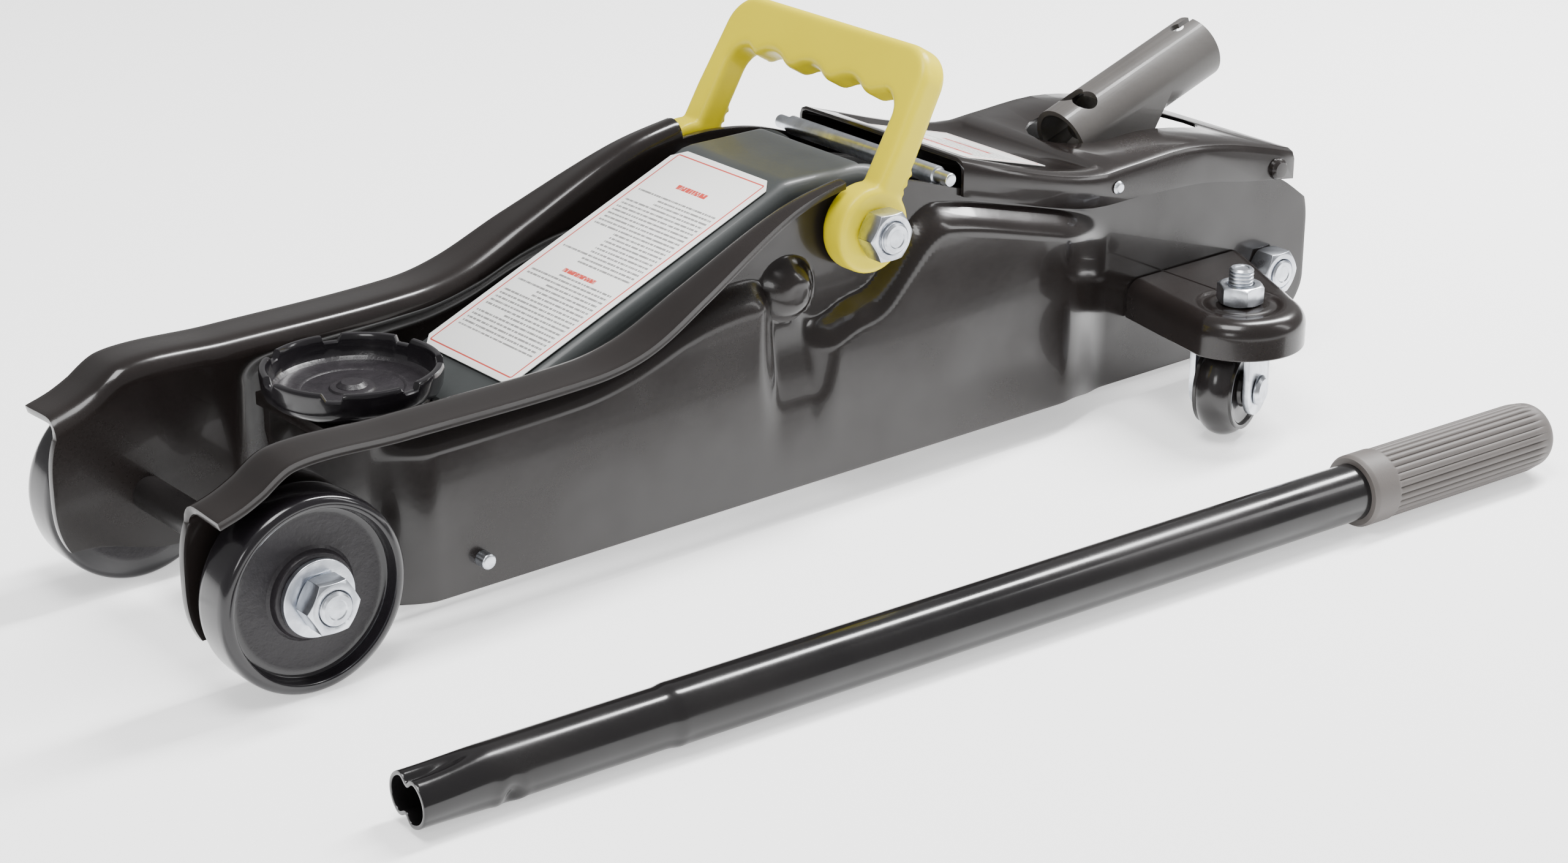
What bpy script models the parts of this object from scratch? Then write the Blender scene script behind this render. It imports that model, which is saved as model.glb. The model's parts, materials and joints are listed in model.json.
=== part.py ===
"""A low-profile hydraulic floor jack with its pump lever lying beside it.

X runs along the jack, from the saddle end (-X) to the socket end (+X), and Z is up. Pieces are laid
out in jack coordinates: x and z from the front axle's vertical plane and the floor, y from the
jack's middle plane. One empty then moves everything, so that the origin is at the middle of the
whole footprint, on the floor.
"""

import math

import bmesh
import bpy
from mathutils import Matrix, Vector

MM = 0.001
DEG = math.pi / 180
CLEAR = 0.3 * MM  # between pieces that touch
RUN = 0.5 * MM  # between pieces that turn or slide in each other
STEPS = 28  # sides of a turned piece
ACROSS_FLATS = 1.5  # of a hexagon nut, to its thread's diameter

# Driving dimensions ---------------------------------------------------------------------------
# Side plates
SHEET = 3 * MM
FRAME_HALF = 48 * MM  # middle plane to the outer face of a side plate
PLATE_FRONT = -37 * MM
PLATE_REAR = 512 * MM
PLATE_BOTTOM = 13 * MM
FLANGE_WIDTH = 20 * MM
FLANGE_END = 244 * MM
BEND = 8 * MM
BULGE = 9 * MM  # how far the middle of a plate is pressed outwards
BULGE_FRONT = 38 * MM
BULGE_REAR = 388 * MM
SHOULDER = 9 * MM  # height over which the pressing runs out
BOSS_X, BOSS_Z, BOSS_R, BOSS_HIGH = 221 * MM, 90 * MM, 12 * MM, 7 * MM
TROUGH_HALF, TROUGH_BOTTOM = 12 * MM, 36 * MM

# Front wheels
WHEEL_R = 36 * MM
WHEEL_WIDTH = 19 * MM
WHEEL_GAP = 3.5 * MM  # side plate to a wheel's inner face
WHEEL_INNER = FRAME_HALF + WHEEL_GAP  # from the middle plane
AXLE_R = 6.5 * MM
THREAD_R = 6 * MM
WASHER_R, WASHER_T = 14 * MM, 2.5 * MM
NUT_T = 9.5 * MM

# Lifting gear
PIVOT_X, PIVOT_Z = 254 * MM, 110 * MM
PIVOT_R = 7 * MM
ARM_HALF = 34 * MM
ARM_SHEET = 4 * MM
ARM_SLOPE = 22.6 * DEG
ARM_TOP_X, ARM_TOP_Z = 114.6 * MM, 75.9 * MM  # a point on the arm's sloping top face
SADDLE_PIN_X, SADDLE_PIN_Z, SADDLE_PIN_R = 62 * MM, 42 * MM, 5 * MM
LIFT_RANGE = 80 * DEG
KNEE_ARM = 48 * MM  # arm pivot to knee pin
KNEE_PIN_R = 6 * MM
LINK_OFFSET = 22 * MM  # arm pivot to link stud, and saddle pin to link pin
LINK_PIN_R = 3.5 * MM
LINK_T = 3.5 * MM
LINK_HALF = 6 * MM
BRACKET_HALF = 29.5 * MM
BRACKET_T = 4 * MM
BRACKET_TOP = 71 * MM
SADDLE_X = 60.3 * MM
SADDLE_R = 33 * MM
SADDLE_TOP = 85.2 * MM
SADDLE_FLOOR = 75.5 * MM
SADDLE_WALL = 3 * MM

# Hydraulics
RAM_Z = 62 * MM
RAM_R = 10 * MM
RESERVOIR_R = 27 * MM
RESERVOIR_FRONT, RESERVOIR_REAR = 303 * MM, 393 * MM
YOKE_HALF = 14 * MM
YOKE_LENGTH = 31 * MM
UNIT_FRONT, UNIT_REAR = 394 * MM, 492 * MM
UNIT_HALF = 34 * MM
UNIT_BOTTOM, UNIT_TOP = 18 * MM, 74 * MM
SPRING_Y, SPRING_Z, SPRING_R, SPRING_WIRE = 37 * MM, 57 * MM, 4.5 * MM, 0.9 * MM
REAR_BOLT_X, REAR_BOLT_Z = 486 * MM, 42 * MM

# Handle socket, with its axis in the middle plane
SOCKET_PIVOT_X, SOCKET_PIVOT_Z = 430 * MM, 90 * MM
SOCKET_PIN_R = 4 * MM
SOCKET_TILT = 19 * DEG
SOCKET_R, SOCKET_WALL = 14 * MM, 2.2 * MM
SOCKET_UNDERSIDE = 115.1 * MM  # floor to the underside of its end, measured upright
SOCKET_END_X, SOCKET_END_Z = 489.3 * MM, SOCKET_UNDERSIDE + SOCKET_R
SOCKET_LENGTH = 84 * MM
PLUNGER_X, PLUNGER_R, PLUNGER_TOP = 446 * MM, 4.5 * MM, 97 * MM
PUMP_TOP = 84 * MM

# Top cover
COVER_FRONT, COVER_REAR = 309 * MM, 500 * MM
COVER_T = 1.5 * MM
COVER_CORNER = 4 * MM
RECESS_HALF, RECESS_DEEP = 38 * MM, 2 * MM
RECESS_FRONT, RECESS_REAR = 320 * MM, 392 * MM

# Casters
SWIVEL_REACH = 48 * MM  # side plate to a swivel bolt
SWIVEL_X, SWIVEL_Y = 420 * MM, FRAME_HALF + SWIVEL_REACH
SWIVEL_R = 5 * MM
WING_TOP, WING_BOTTOM, WING_R = 54 * MM, 38 * MM, 27 * MM
CASTER_R, CASTER_WIDTH = 21 * MM, 18 * MM
CASTER_TRAIL, CASTER_TURN = 7 * MM, 20 * DEG
FORK_T, FORK_HALF, FORK_TOP = 2.5 * MM, 10.5 * MM, 47 * MM
RIVET_R = 4 * MM

# Carrying handle
BAIL_TILT = 30.5 * DEG  # from upright, leaning back
BAIL_GAP, BAIL_LEG = 3 * MM, 10 * MM
BAIL_INNER = FRAME_HALF + BAIL_GAP
BAIL_OUTER = BAIL_INNER + BAIL_LEG
BAIL_TOP, BAIL_GRIP = 71 * MM, 20 * MM
BAIL_DEPTH = 12 * MM
LUG_R = 17 * MM
LUG_GAP, LUG_T = 1.5 * MM, 12.2 * MM

# Pump lever, lying on the floor
LEVER_FROM = Vector((-30 * MM, -169.4 * MM))
LEVER_TO = Vector((482.5 * MM, -201.7 * MM))
TUBE_R, TUBE_WALL, MOUTH_R = 11 * MM, 1.5 * MM, 9.3 * MM
MOUTH_LENGTH, MOUTH_TAPER = 16 * MM, 12 * MM
GRIP_R, COLLAR_R = 13.2 * MM, 14.2 * MM
GRIP_LENGTH = 104 * MM

# Design lines, as (x, z) in millimetres ---------------------------------------------------------
TOP_LINE = ((-37, 72), (-28, 75), (-6, 85.5), (40, 85.5), (118, 86.5), (142, 91), (170, 103.5),
            (216, 123.5), (245, 130), (262, 130.5), (284, 127.5), (309, 119.5), (357, 105),
            (384, 99.8), (404, 100.5), (434, 101.7), (459, 98.5), (484, 92.5), (500, 86.5),
            (512, 76))
SHOULDER_LINE = ((38, 72), (120, 75), (145, 80), (168, 87), (187, 90), (206, 91), (222, 84),
                 (234, 72), (250, 75), (264, 79), (276, 91), (286, 100), (296, 103), (340, 92.5),
                 (388, 80))
COVER_LINE = ((309, 124.6), (357, 109.7), (384, 104.4), (404, 105.1), (434, 106.3), (459, 103.1),
              (484, 97), (500, 92.4))
SKIRT_LINE = ((309, 109.5), (375, 91.2), (411, 90), (446, 88.3), (470, 84), (500, 79.5))

FINISHES = {
    "black_paint": ((0.012, 0.011, 0.012), 0.22, 0.0),
    "grey_paint": ((0.045, 0.05, 0.05), 0.5, 0.0),
    "grey_steel": ((0.09, 0.085, 0.085), 0.45, 0.3),
    "zinc": ((0.62, 0.64, 0.67), 0.3, 1.0),
    "steel": ((0.45, 0.45, 0.46), 0.3, 1.0),
    "yellow_plastic": ((0.78, 0.68, 0.02), 0.4, 0.0),
    "rubber": ((0.1, 0.09, 0.085), 0.7, 0.0),
    "sticker": ((0.85, 0.85, 0.85), 0.4, 0.0),
}


# Scene ------------------------------------------------------------------------------------------
def clear_scene():
    for obj in list(bpy.data.objects):
        bpy.data.objects.remove(obj)


def new_collection(name):
    made = bpy.data.collections.new(name)
    bpy.context.scene.collection.children.link(made)
    return made


def finish(name):
    """The material of that name, made once."""
    if name in bpy.data.materials:
        return bpy.data.materials[name]
    colour, roughness, metallic = FINISHES[name]
    made = bpy.data.materials.new(name)
    made.use_nodes = True
    shader = made.node_tree.nodes["Principled BSDF"]
    shader.inputs["Base Color"].default_value = (*colour, 1)
    shader.inputs["Roughness"].default_value = roughness
    shader.inputs["Metallic"].default_value = metallic
    return made


clear_scene()
PARTS = new_collection("floor_jack")
CUTTERS = new_collection("cutters")

LEVER_SIDE = LEVER_TO.y - COLLAR_R  # the whole object's near side
FAR_SIDE = SWIVEL_Y + WING_R
ORIGIN = Vector(((PLATE_FRONT + PLATE_REAR) / 2, (LEVER_SIDE + FAR_SIDE) / 2, 0))
jack = bpy.data.objects.new("jack", None)
PARTS.objects.link(jack)
jack.location = -ORIGIN


def joint(name, x, y, z, parent=jack):
    """An empty on a joint's axis, placed in jack coordinates."""
    empty = bpy.data.objects.new(name, None)
    PARTS.objects.link(empty)
    empty.parent = parent
    empty["at"] = (x, y, z)
    empty.location = Vector((x, y, z)) - place_of(parent)
    return empty


def place_of(empty):
    return Vector(empty["at"]) if "at" in empty else Vector((0, 0, 0))


def add(name, mesh, colour, parent=jack, collection=PARTS):
    """An object from a mesh whose points are in jack coordinates; its origin is its parent's."""
    mesh.transform(Matrix.Translation(-place_of(parent)))
    made = bpy.data.objects.new(name, mesh)
    collection.objects.link(made)
    made.parent = parent
    mesh.materials.append(finish(colour))
    mesh.shade_smooth()
    mesh.set_sharp_from_angle(angle=35 * DEG)
    return made


def mesh_of(bm, name, recalculate=False):
    if recalculate:
        bmesh.ops.recalc_face_normals(bm, faces=bm.faces)
    mesh = bpy.data.meshes.new(name)
    bm.to_mesh(mesh)
    bm.free()
    return mesh


# Shapes -----------------------------------------------------------------------------------------
def facing(axis, centre):
    """The matrix that stands a shape's own Z along an axis, at a centre."""
    turn = Vector((0, 0, 1)).rotation_difference(Vector(axis).normalized())
    return Matrix.Translation(Vector(centre)) @ turn.to_matrix().to_4x4()


def box(name, low, high):
    bm = bmesh.new()
    bmesh.ops.create_cube(bm, size=1)
    low, high = Vector(low), Vector(high)
    size = high - low
    bmesh.ops.transform(bm, matrix=Matrix.Translation((low + high) / 2) @ Matrix.Diagonal(
        (*size, 1)), verts=bm.verts)
    return mesh_of(bm, name)


def rod(name, radius, start, end, sides=STEPS):
    """A plain round bar from one point to another."""
    start, end = Vector(start), Vector(end)
    bm = bmesh.new()
    bmesh.ops.create_cone(bm, cap_ends=True, segments=sides, radius1=radius, radius2=radius,
                          depth=(end - start).length,
                          matrix=facing(end - start, (start + end) / 2))
    return mesh_of(bm, name)


def turned(name, profile, centre, axis, steps=STEPS, closed=False):
    """A mesh turned from (radius, height) points, top to bottom on the outer side. A closed
    profile makes a ring; an open one starts and ends on the axis."""
    profile = list(profile)
    mesh = bpy.data.meshes.new(name)
    links = [(i, i + 1) for i in range(len(profile) - 1)]
    if closed:
        links.append((len(profile) - 1, 0))
    mesh.from_pydata([(r, 0, h) for r, h in profile], links, [])
    holder = bpy.data.objects.new(name + "_profile", mesh)
    CUTTERS.objects.link(holder)
    screw = holder.modifiers.new("turn", "SCREW")
    screw.steps = screw.render_steps = steps
    screw.use_merge_vertices = not closed
    screw.merge_threshold = 0.00001
    return baked(holder, facing(axis, centre))


def baked(holder, matrix=Matrix()):
    """The evaluated mesh of a helper object, which is then removed."""
    bpy.context.view_layer.update()
    graph = bpy.context.evaluated_depsgraph_get()
    mesh = bpy.data.meshes.new_from_object(holder.evaluated_get(graph))
    bpy.data.objects.remove(holder)
    mesh.transform(matrix)
    bm = bmesh.new()
    bm.from_mesh(mesh)
    bmesh.ops.remove_doubles(bm, verts=bm.verts, dist=0.00001)
    bmesh.ops.recalc_face_normals(bm, faces=bm.faces)
    bm.to_mesh(mesh)
    bm.free()
    return mesh


def flat(name, loops, thickness, matrix):
    """A flat outline with any holes, given as closed loops of (x, y), cut from sheet that runs
    half its thickness to each side of the loops' plane."""
    curve = bpy.data.curves.new(name, "CURVE")
    curve.dimensions = "2D"
    curve.fill_mode = "BOTH"
    curve.extrude = thickness / 2
    for loop in loops:
        spline = curve.splines.new("POLY")
        spline.points.add(len(loop) - 1)
        for point, (x, y) in zip(spline.points, loop):
            point.co = (x, y, 0, 1)
        spline.use_cyclic_u = True
    holder = bpy.data.objects.new(name + "_outline", curve)
    CUTTERS.objects.link(holder)
    return baked(holder, matrix)


def prism(loop, thickness, matrix):
    """The same for one loop without holes, with a single face on each side."""
    bm = bmesh.new()
    low = [bm.verts.new((x, y, -thickness / 2)) for x, y in loop]
    high = [bm.verts.new((x, y, thickness / 2)) for x, y in loop]
    bm.faces.new(low)
    bm.faces.new(high)
    for i in range(len(loop)):
        j = (i + 1) % len(loop)
        bm.faces.new((low[i], low[j], high[j], high[i]))
    mesh = mesh_of(bm, "prism", recalculate=True)
    mesh.transform(matrix)
    return mesh


def upright(y):
    """Stands a loop of (x, z) points in the vertical plane at y."""
    return Matrix.Translation((0, y, 0)) @ Matrix.Rotation(math.pi / 2, 4, "X")


def level(z):
    return Matrix.Translation((0, 0, z))


def arc(x, y, radius, start, end, count):
    """Points on an arc, with angles in degrees."""
    return [(x + radius * math.cos((start + (end - start) * i / count) * DEG),
             y + radius * math.sin((start + (end - start) * i / count) * DEG))
            for i in range(count + 1)]


def circle(x, y, radius, count=STEPS):
    return arc(x, y, radius, 0, 360, count)[:-1]


def slot(x, low, high, radius, count=6):
    """A slot along the second coordinate."""
    return arc(x, high, radius, 0, 180, count) + arc(x, low, radius, 180, 360, count)


def hexagon(x, y, thread_radius):
    flats = thread_radius * 2 * ACROSS_FLATS
    return circle(x, y, flats / math.sqrt(3), 6)


def tube_along(name, points, radius, resolution=0):
    """A wire on a list of points."""
    curve = bpy.data.curves.new(name, "CURVE")
    curve.dimensions = "3D"
    curve.bevel_depth = radius
    curve.bevel_resolution = resolution
    curve.use_fill_caps = True
    spline = curve.splines.new("POLY")
    spline.points.add(len(points) - 1)
    for point, at in zip(spline.points, points):
        point.co = (*at, 1)
    holder = bpy.data.objects.new(name + "_route", curve)
    CUTTERS.objects.link(holder)
    return baked(holder)


def coil(name, start, end, radius, wire, turns, per_turn=8):
    """A helical spring from one point to another."""
    start, end = Vector(start), Vector(end)
    frame = facing(end - start, start)
    length = (end - start).length
    count = turns * per_turn
    points = [frame @ Vector((radius * math.cos(2 * math.pi * i / per_turn),
                              radius * math.sin(2 * math.pi * i / per_turn),
                              wire + (length - 2 * wire) * i / count))
              for i in range(count + 1)]
    return tube_along(name, points, wire)


def boolean(target, mesh, operation="DIFFERENCE"):
    """Cuts a mesh from an object, or joins it on."""
    cutter = bpy.data.objects.new(target.name + "_cutter", mesh)
    CUTTERS.objects.link(cutter)
    cutter.parent = target.parent
    mesh.transform(Matrix.Translation(-place_of(target.parent)))
    cutter.hide_render = True
    cutter.display_type = "WIRE"
    modifier = target.modifiers.new(operation.lower(), "BOOLEAN")
    modifier.operation = operation
    modifier.object = cutter
    return target


def line_through(points):
    """A smooth height z(x) through design points, in metres."""
    xs = [x * MM for x, _ in points]
    zs = [z * MM for _, z in points]

    def height(x):
        x = min(max(x, xs[0]), xs[-1])
        i = max(k for k in range(len(xs) - 1) if xs[k] <= x)
        slopes = []
        for k in (i, i + 1):
            a, b = max(k - 1, 0), min(k + 1, len(xs) - 1)
            slopes.append((zs[b] - zs[a]) / (xs[b] - xs[a]))
        width = xs[i + 1] - xs[i]
        t = (x - xs[i]) / width
        return ((2 * t**3 - 3 * t**2 + 1) * zs[i] + (t**3 - 2 * t**2 + t) * width * slopes[0]
                + (3 * t**2 - 2 * t**3) * zs[i + 1] + (t**3 - t**2) * width * slopes[1])

    return height


def ramp(t):
    """0 below 0, 1 above 1, and smooth between."""
    t = min(max(t, 0), 1)
    return t * t * (3 - 2 * t)


top_line = line_through(TOP_LINE)
shoulder_line = line_through(SHOULDER_LINE)
cover_line = line_through(COVER_LINE)
skirt_line = line_through(SKIRT_LINE)


# Side plates --------------------------------------------------------------------------------------
def bulge(x, z):
    """How far the plate is pressed outwards at a place."""
    along = ramp((x - BULGE_FRONT) / (14 * MM)) * ramp((BULGE_REAR - x) / (16 * MM))
    up = ramp((shoulder_line(x) - z) / SHOULDER + 0.5)
    across = abs(x - BOSS_X) / TROUGH_HALF
    trough = ramp((1.25 - across) / 0.5) * ramp((z - TROUGH_BOTTOM) / (10 * MM) + 0.5)
    away = math.hypot(x - BOSS_X, z - BOSS_Z) / BOSS_R
    return BULGE * along * up * (1 - trough) + BOSS_HIGH * ramp(1.15 - away)


def bottom_line(x):
    """The plate's lower edge: it rises at both ends."""
    front = ramp((12 * MM - x) / (45 * MM)) * 8 * MM
    rear = ramp((x - BULGE_REAR + 24 * MM) / (20 * MM)) * 3 * MM
    return PLATE_BOTTOM + front - rear


def flange_width(x):
    return FLANGE_WIDTH - 13 * MM * ramp((x - 135 * MM) / (FLANGE_END - 135 * MM))


def end_shift(x, z):
    """Moves a station of the plate to follow its rounded front and rear edges."""
    if x < 0:
        return 7 * MM * min(abs(z - 45 * MM) / (27 * MM), 1) ** 3 * x / PLATE_FRONT
    near_end = max(x - 468 * MM, 0) / (PLATE_REAR - 468 * MM)
    low = max(34 * MM - z, 0) / (24 * MM)
    high = max(z - 58 * MM, 0) / (32 * MM)
    return -near_end * (20 * MM * low**2 + 15 * MM * high**2)


def plate_stations():
    """Places along the plate, closer together where its shape changes faster."""
    stops = ((-37, 0, 5), (0, 36, 3), (36, 54, 4), (54, 130, 4), (130, 204, 8), (204, 240, 9),
             (240, 244, 1), (244, 298, 7), (298, 370, 5), (370, 392, 4), (392, 468, 3),
             (468, 512, 5))
    found = [(low + (high - low) * i / count) * MM
             for low, high, count in stops for i in range(count)]
    return found + [PLATE_REAR]


WEB_ROWS = 13


def web_heights(top, shoulder, low):
    """Heights down the web: close together where the pressing runs out."""
    begin = min(shoulder + SHOULDER / 2, top - 2 * MM)
    full = begin - SHOULDER
    upper = [top + (begin - top) * i / 3 for i in range(3)]
    middle = [begin + (full - begin) * i / 4 for i in range(4)]
    lower = [full + (low - full) * i / 6 for i in range(7)]
    return upper + middle + lower


def plate_sections():
    """Rows of points down the plate's inner skin, one list a station: the flange's points first
    where it has a flange, then the web's."""
    sections = []
    for x in plate_stations():
        top = top_line(x)
        inner = FRAME_HALF - SHEET
        flange = []
        start = top
        if x <= FLANGE_END + CLEAR:
            width = flange_width(x)
            start = top - BEND
            flange = [(x, FRAME_HALF + width, top - 1 * MM * ramp(width / FLANGE_WIDTH)),
                      (x, inner + max(BEND, width * 0.7), top - CLEAR),
                      (x, inner + BEND * 0.85, top),
                      (x, inner + BEND * 0.3, top - BEND * 0.28)]
        low = bottom_line(x)
        web = []
        for z in web_heights(start, shoulder_line(x), low):
            web.append((x + end_shift(x, z), inner + bulge(x, z), z))
        sections.append((flange, web))
    return sections


def side_plate(name, side):
    bm = bmesh.new()
    rows = []
    for flange, web in plate_sections():
        rows.append([bm.verts.new((x, side * y, z)) for x, y, z in flange + web])
    flange_points = len(rows[0]) - WEB_ROWS - 1
    for a, b in zip(rows, rows[1:]):
        skip_a, skip_b = (0, 0) if len(a) == len(b) else (flange_points, 0)
        for j in range(min(len(a), len(b)) - 1):
            corners = (a[skip_a + j], a[skip_a + j + 1], b[skip_b + j + 1], b[skip_b + j])
            bm.faces.new(corners if side < 0 else corners[::-1])
    made = add(name, mesh_of(bm, name), "black_paint")
    thick = made.modifiers.new("sheet", "SOLIDIFY")
    thick.thickness = SHEET
    thick.offset = 1
    thick.use_even_offset = True
    reach = FRAME_HALF + BULGE + 12 * MM
    for x, z, radius in ((0, WHEEL_R, AXLE_R), (*FRONT_RIVET, FRONT_RIVET_R), (*ANCHOR_ROD, ANCHOR_PIN_R),
                         (PIVOT_X, PIVOT_Z, PIVOT_R), (REAR_BOLT_X, REAR_BOLT_Z, THREAD_R)):
        boolean(made, rod("bore", radius + CLEAR, (x, side * (FRAME_HALF - 8 * MM), z),
                          (x, side * reach, z), 20))
    return made


FRONT_RIVET = (75.4 * MM, 24.4 * MM)
FRONT_RIVET_R = 3 * MM
ANCHOR_ROD = (300.3 * MM, 118.6 * MM)
ANCHOR_ROD_R, ANCHOR_PIN_R = 3.9 * MM, 2.8 * MM


def stepped_rod(name, place, body_radius, pin_radius, shoulder, end, colour="zinc", parent=jack):
    """A cross rod with a thinner pin at each end, centred on the middle plane."""
    chamfer = 0.5 * MM
    profile = [(0, end), (pin_radius - chamfer, end), (pin_radius, end - chamfer),
               (pin_radius, shoulder), (body_radius, shoulder)]
    profile += [(r, -h) for r, h in profile[::-1]]
    mesh = turned(name, profile, (place[0], 0, place[1]), (0, 1, 0), 20)
    return add(name, mesh, colour, parent)


def nut(name, place, thread_radius, low, high, axis="Y", parent=jack, colour="zinc"):
    """A hexagon nut between two heights on its axis."""
    x, other = place
    loops = [hexagon(x, other, thread_radius), circle(x, other, thread_radius + CLEAR, 18)]
    stand = upright((low + high) / 2) if axis == "Y" else level((low + high) / 2)
    return add(name, flat(name, loops, abs(high - low), stand), colour, parent)


def washer(name, place, inner, outer, low, high):
    loops = [circle(*place, outer), circle(*place, inner, 18)]
    return add(name, flat(name, loops, abs(high - low), upright((low + high) / 2)), "zinc")


def frame():
    for name, side in (("left", -1), ("right", 1)):
        side_plate("side_plate_" + name, side)
    inside = FRAME_HALF - SHEET - CLEAR
    face = FRAME_HALF + BULGE
    for name, side in (("left", -1), ("right", 1)):
        seat = inside + BULGE
        rivet = [(0, face + 5 * MM), (FRONT_RIVET_R - 0.6 * MM, face + 5 * MM),
                 (FRONT_RIVET_R, face + 4.4 * MM), (FRONT_RIVET_R, seat), (5 * MM, seat),
                 (5 * MM, seat - 2 * MM), (0, seat - 2 * MM)]
        add("front_rivet_" + name, turned("front_rivet", rivet, (FRONT_RIVET[0], 0, FRONT_RIVET[1]),
                                          (0, side, 0), 18), "zinc")
    stepped_rod("spring_anchor_rod", ANCHOR_ROD, ANCHOR_ROD_R, ANCHOR_PIN_R, inside,
                FRAME_HALF + 4.5 * MM)


# Front wheels -------------------------------------------------------------------------------------
def wheel_profile():
    """A cast wheel as a closed (radius, height) profile, with its outer face at the top."""
    bore, width = AXLE_R + RUN, WHEEL_WIDTH
    rim, hub = WHEEL_R - 5.5 * MM, 15.5 * MM
    return [(bore, width - 1 * MM), (hub - 1 * MM, width - 1 * MM), (hub, width - 3.5 * MM),
            (rim - 2 * MM, width - 4.5 * MM), (rim, width - 0.5 * MM), (rim + 1 * MM, width),
            (WHEEL_R - 3.4 * MM, width), (WHEEL_R - 1.2 * MM, width - 1.6 * MM),
            (WHEEL_R, width - 5 * MM), (WHEEL_R, 5 * MM), (WHEEL_R - 1.2 * MM, 1.6 * MM),
            (WHEEL_R - 3.4 * MM, 0), (bore, 0)]


def front_wheels():
    hub_face = WHEEL_INNER + WHEEL_WIDTH - 1 * MM + CLEAR
    nut_face = hub_face + WASHER_T + CLEAR
    thread_end = nut_face + NUT_T + 1.5 * MM
    collar_r, low, high = AXLE_R + 4 * MM, FRAME_HALF + CLEAR, WHEEL_INNER - RUN
    half = [(0, thread_end), (THREAD_R - 0.5 * MM, thread_end), (THREAD_R, thread_end - 0.5 * MM),
            (THREAD_R, hub_face - 1.5 * MM), (AXLE_R, hub_face - 1.5 * MM), (AXLE_R, high),
            (collar_r, high), (collar_r, low), (AXLE_R, low)]
    half += [(r, -h) for r, h in half[::-1]]
    add("front_axle", turned("front_axle", half, (0, 0, WHEEL_R), (0, 1, 0), 18), "zinc")
    for name, side in (("left", -1), ("right", 1)):
        spin = joint("front_wheel_spin_" + name, 0, side * WHEEL_INNER, WHEEL_R)
        mesh = turned("front_wheel", wheel_profile(), (0, side * WHEEL_INNER, WHEEL_R),
                      (0, side, 0), 36, closed=True)
        add("front_wheel_" + name, mesh, "black_paint", spin)
        washer("front_washer_" + name, (0, WHEEL_R), THREAD_R + CLEAR, WASHER_R,
               side * hub_face, side * (hub_face + WASHER_T))
        nut("front_nut_" + name, (0, WHEEL_R), THREAD_R, side * nut_face,
            side * (nut_face + NUT_T))


# Lifting gear ---------------------------------------------------------------------------------------
def arm_top(x):
    return ARM_TOP_Z + (x - ARM_TOP_X) * math.tan(ARM_SLOPE)


EAR_X, EAR_Z, EAR_R = 269 * MM, 98 * MM, 28 * MM
ARM_FLAT_TOP = EAR_Z + EAR_R
KNEE_X = PIVOT_X + KNEE_ARM * math.sin(LIFT_RANGE / 2)
KNEE_Z = PIVOT_Z - KNEE_ARM * math.cos(LIFT_RANGE / 2)
KNEE_EYE, FRONT_EYE = 10.5 * MM, 11 * MM
BEND_X = ARM_TOP_X + (ARM_FLAT_TOP - ARM_TOP_Z) / math.tan(ARM_SLOPE)


def arm_outline():
    """One side wall of the arm, from the saddle pin round the ear and the knee."""
    x_nose = SADDLE_PIN_X
    return (arc(x_nose, SADDLE_PIN_Z, FRONT_EYE, 268, 112.6, 7)
            + [(x_nose + 10 * MM, arm_top(x_nose + 10 * MM) - 1 * MM),
               (BEND_X, ARM_FLAT_TOP)]
            + arc(EAR_X, EAR_Z, EAR_R, 90, -30, 8)
            + arc(KNEE_X, KNEE_Z, KNEE_EYE, -10, -130, 5)
            + [(PIVOT_X - 16 * MM, PIVOT_Z - 26 * MM)])


def lifting_gear():
    arm = joint("arm_hinge", PIVOT_X, 0, PIVOT_Z)
    wall_middle = ARM_HALF - ARM_SHEET / 2
    holes = [circle(PIVOT_X, PIVOT_Z, PIVOT_R + RUN, 20),
             circle(SADDLE_PIN_X, SADDLE_PIN_Z, SADDLE_PIN_R + CLEAR, 18),
             circle(KNEE_X, KNEE_Z, KNEE_PIN_R + CLEAR, 18)]
    lift_arm = add("lift_arm", flat("wall", [arm_outline()] + holes, ARM_SHEET,
                                    upright(-wall_middle)), "grey_paint", arm)
    boolean(lift_arm, flat("wall", [arm_outline()] + holes, ARM_SHEET, upright(wall_middle)),
            "UNION")
    front = 92 * MM
    sheet = ARM_SHEET
    rear = EAR_X + 2 * MM
    web = [(front, arm_top(front) - 0.2 * MM), (BEND_X - 0.1 * MM, ARM_FLAT_TOP - 0.2 * MM),
           (rear, ARM_FLAT_TOP - 0.2 * MM), (rear, ARM_FLAT_TOP - sheet),
           (BEND_X + 1 * MM, ARM_FLAT_TOP - sheet), (front, arm_top(front) - sheet - 0.4 * MM)]
    boolean(lift_arm, flat("web", [web], 2 * ARM_HALF - 1 * MM, upright(0)), "UNION")

    reach = FRAME_HALF + LUG_GAP + LUG_T + CLEAR
    end = reach + NUT_T + 2.5 * MM
    stepped_rod("arm_pivot_shaft", (PIVOT_X, PIVOT_Z), PIVOT_R, THREAD_R, reach - 1 * MM, end)
    for name, side in (("left", -1), ("right", 1)):
        nut("pivot_nut_" + name, (PIVOT_X, PIVOT_Z), THREAD_R, side * (reach + CLEAR),
            side * (reach + CLEAR + NUT_T))
    add("knee_pin", rod("knee_pin", KNEE_PIN_R, (KNEE_X, -ARM_HALF, KNEE_Z),
                        (KNEE_X, ARM_HALF, KNEE_Z), 20), "steel", arm)
    add("saddle_pin", rod("saddle_pin", SADDLE_PIN_R,
                          (SADDLE_PIN_X, -ARM_HALF, SADDLE_PIN_Z),
                          (SADDLE_PIN_X, ARM_HALF, SADDLE_PIN_Z), 18), "steel", arm)
    arm_sticker(arm)
    saddle_gear(arm)


STICKER_FRONT, STICKER_LENGTH, STICKER_HALF, STICKER_T = 108 * MM, 134 * MM, 29.5 * MM, 0.4 * MM


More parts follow.
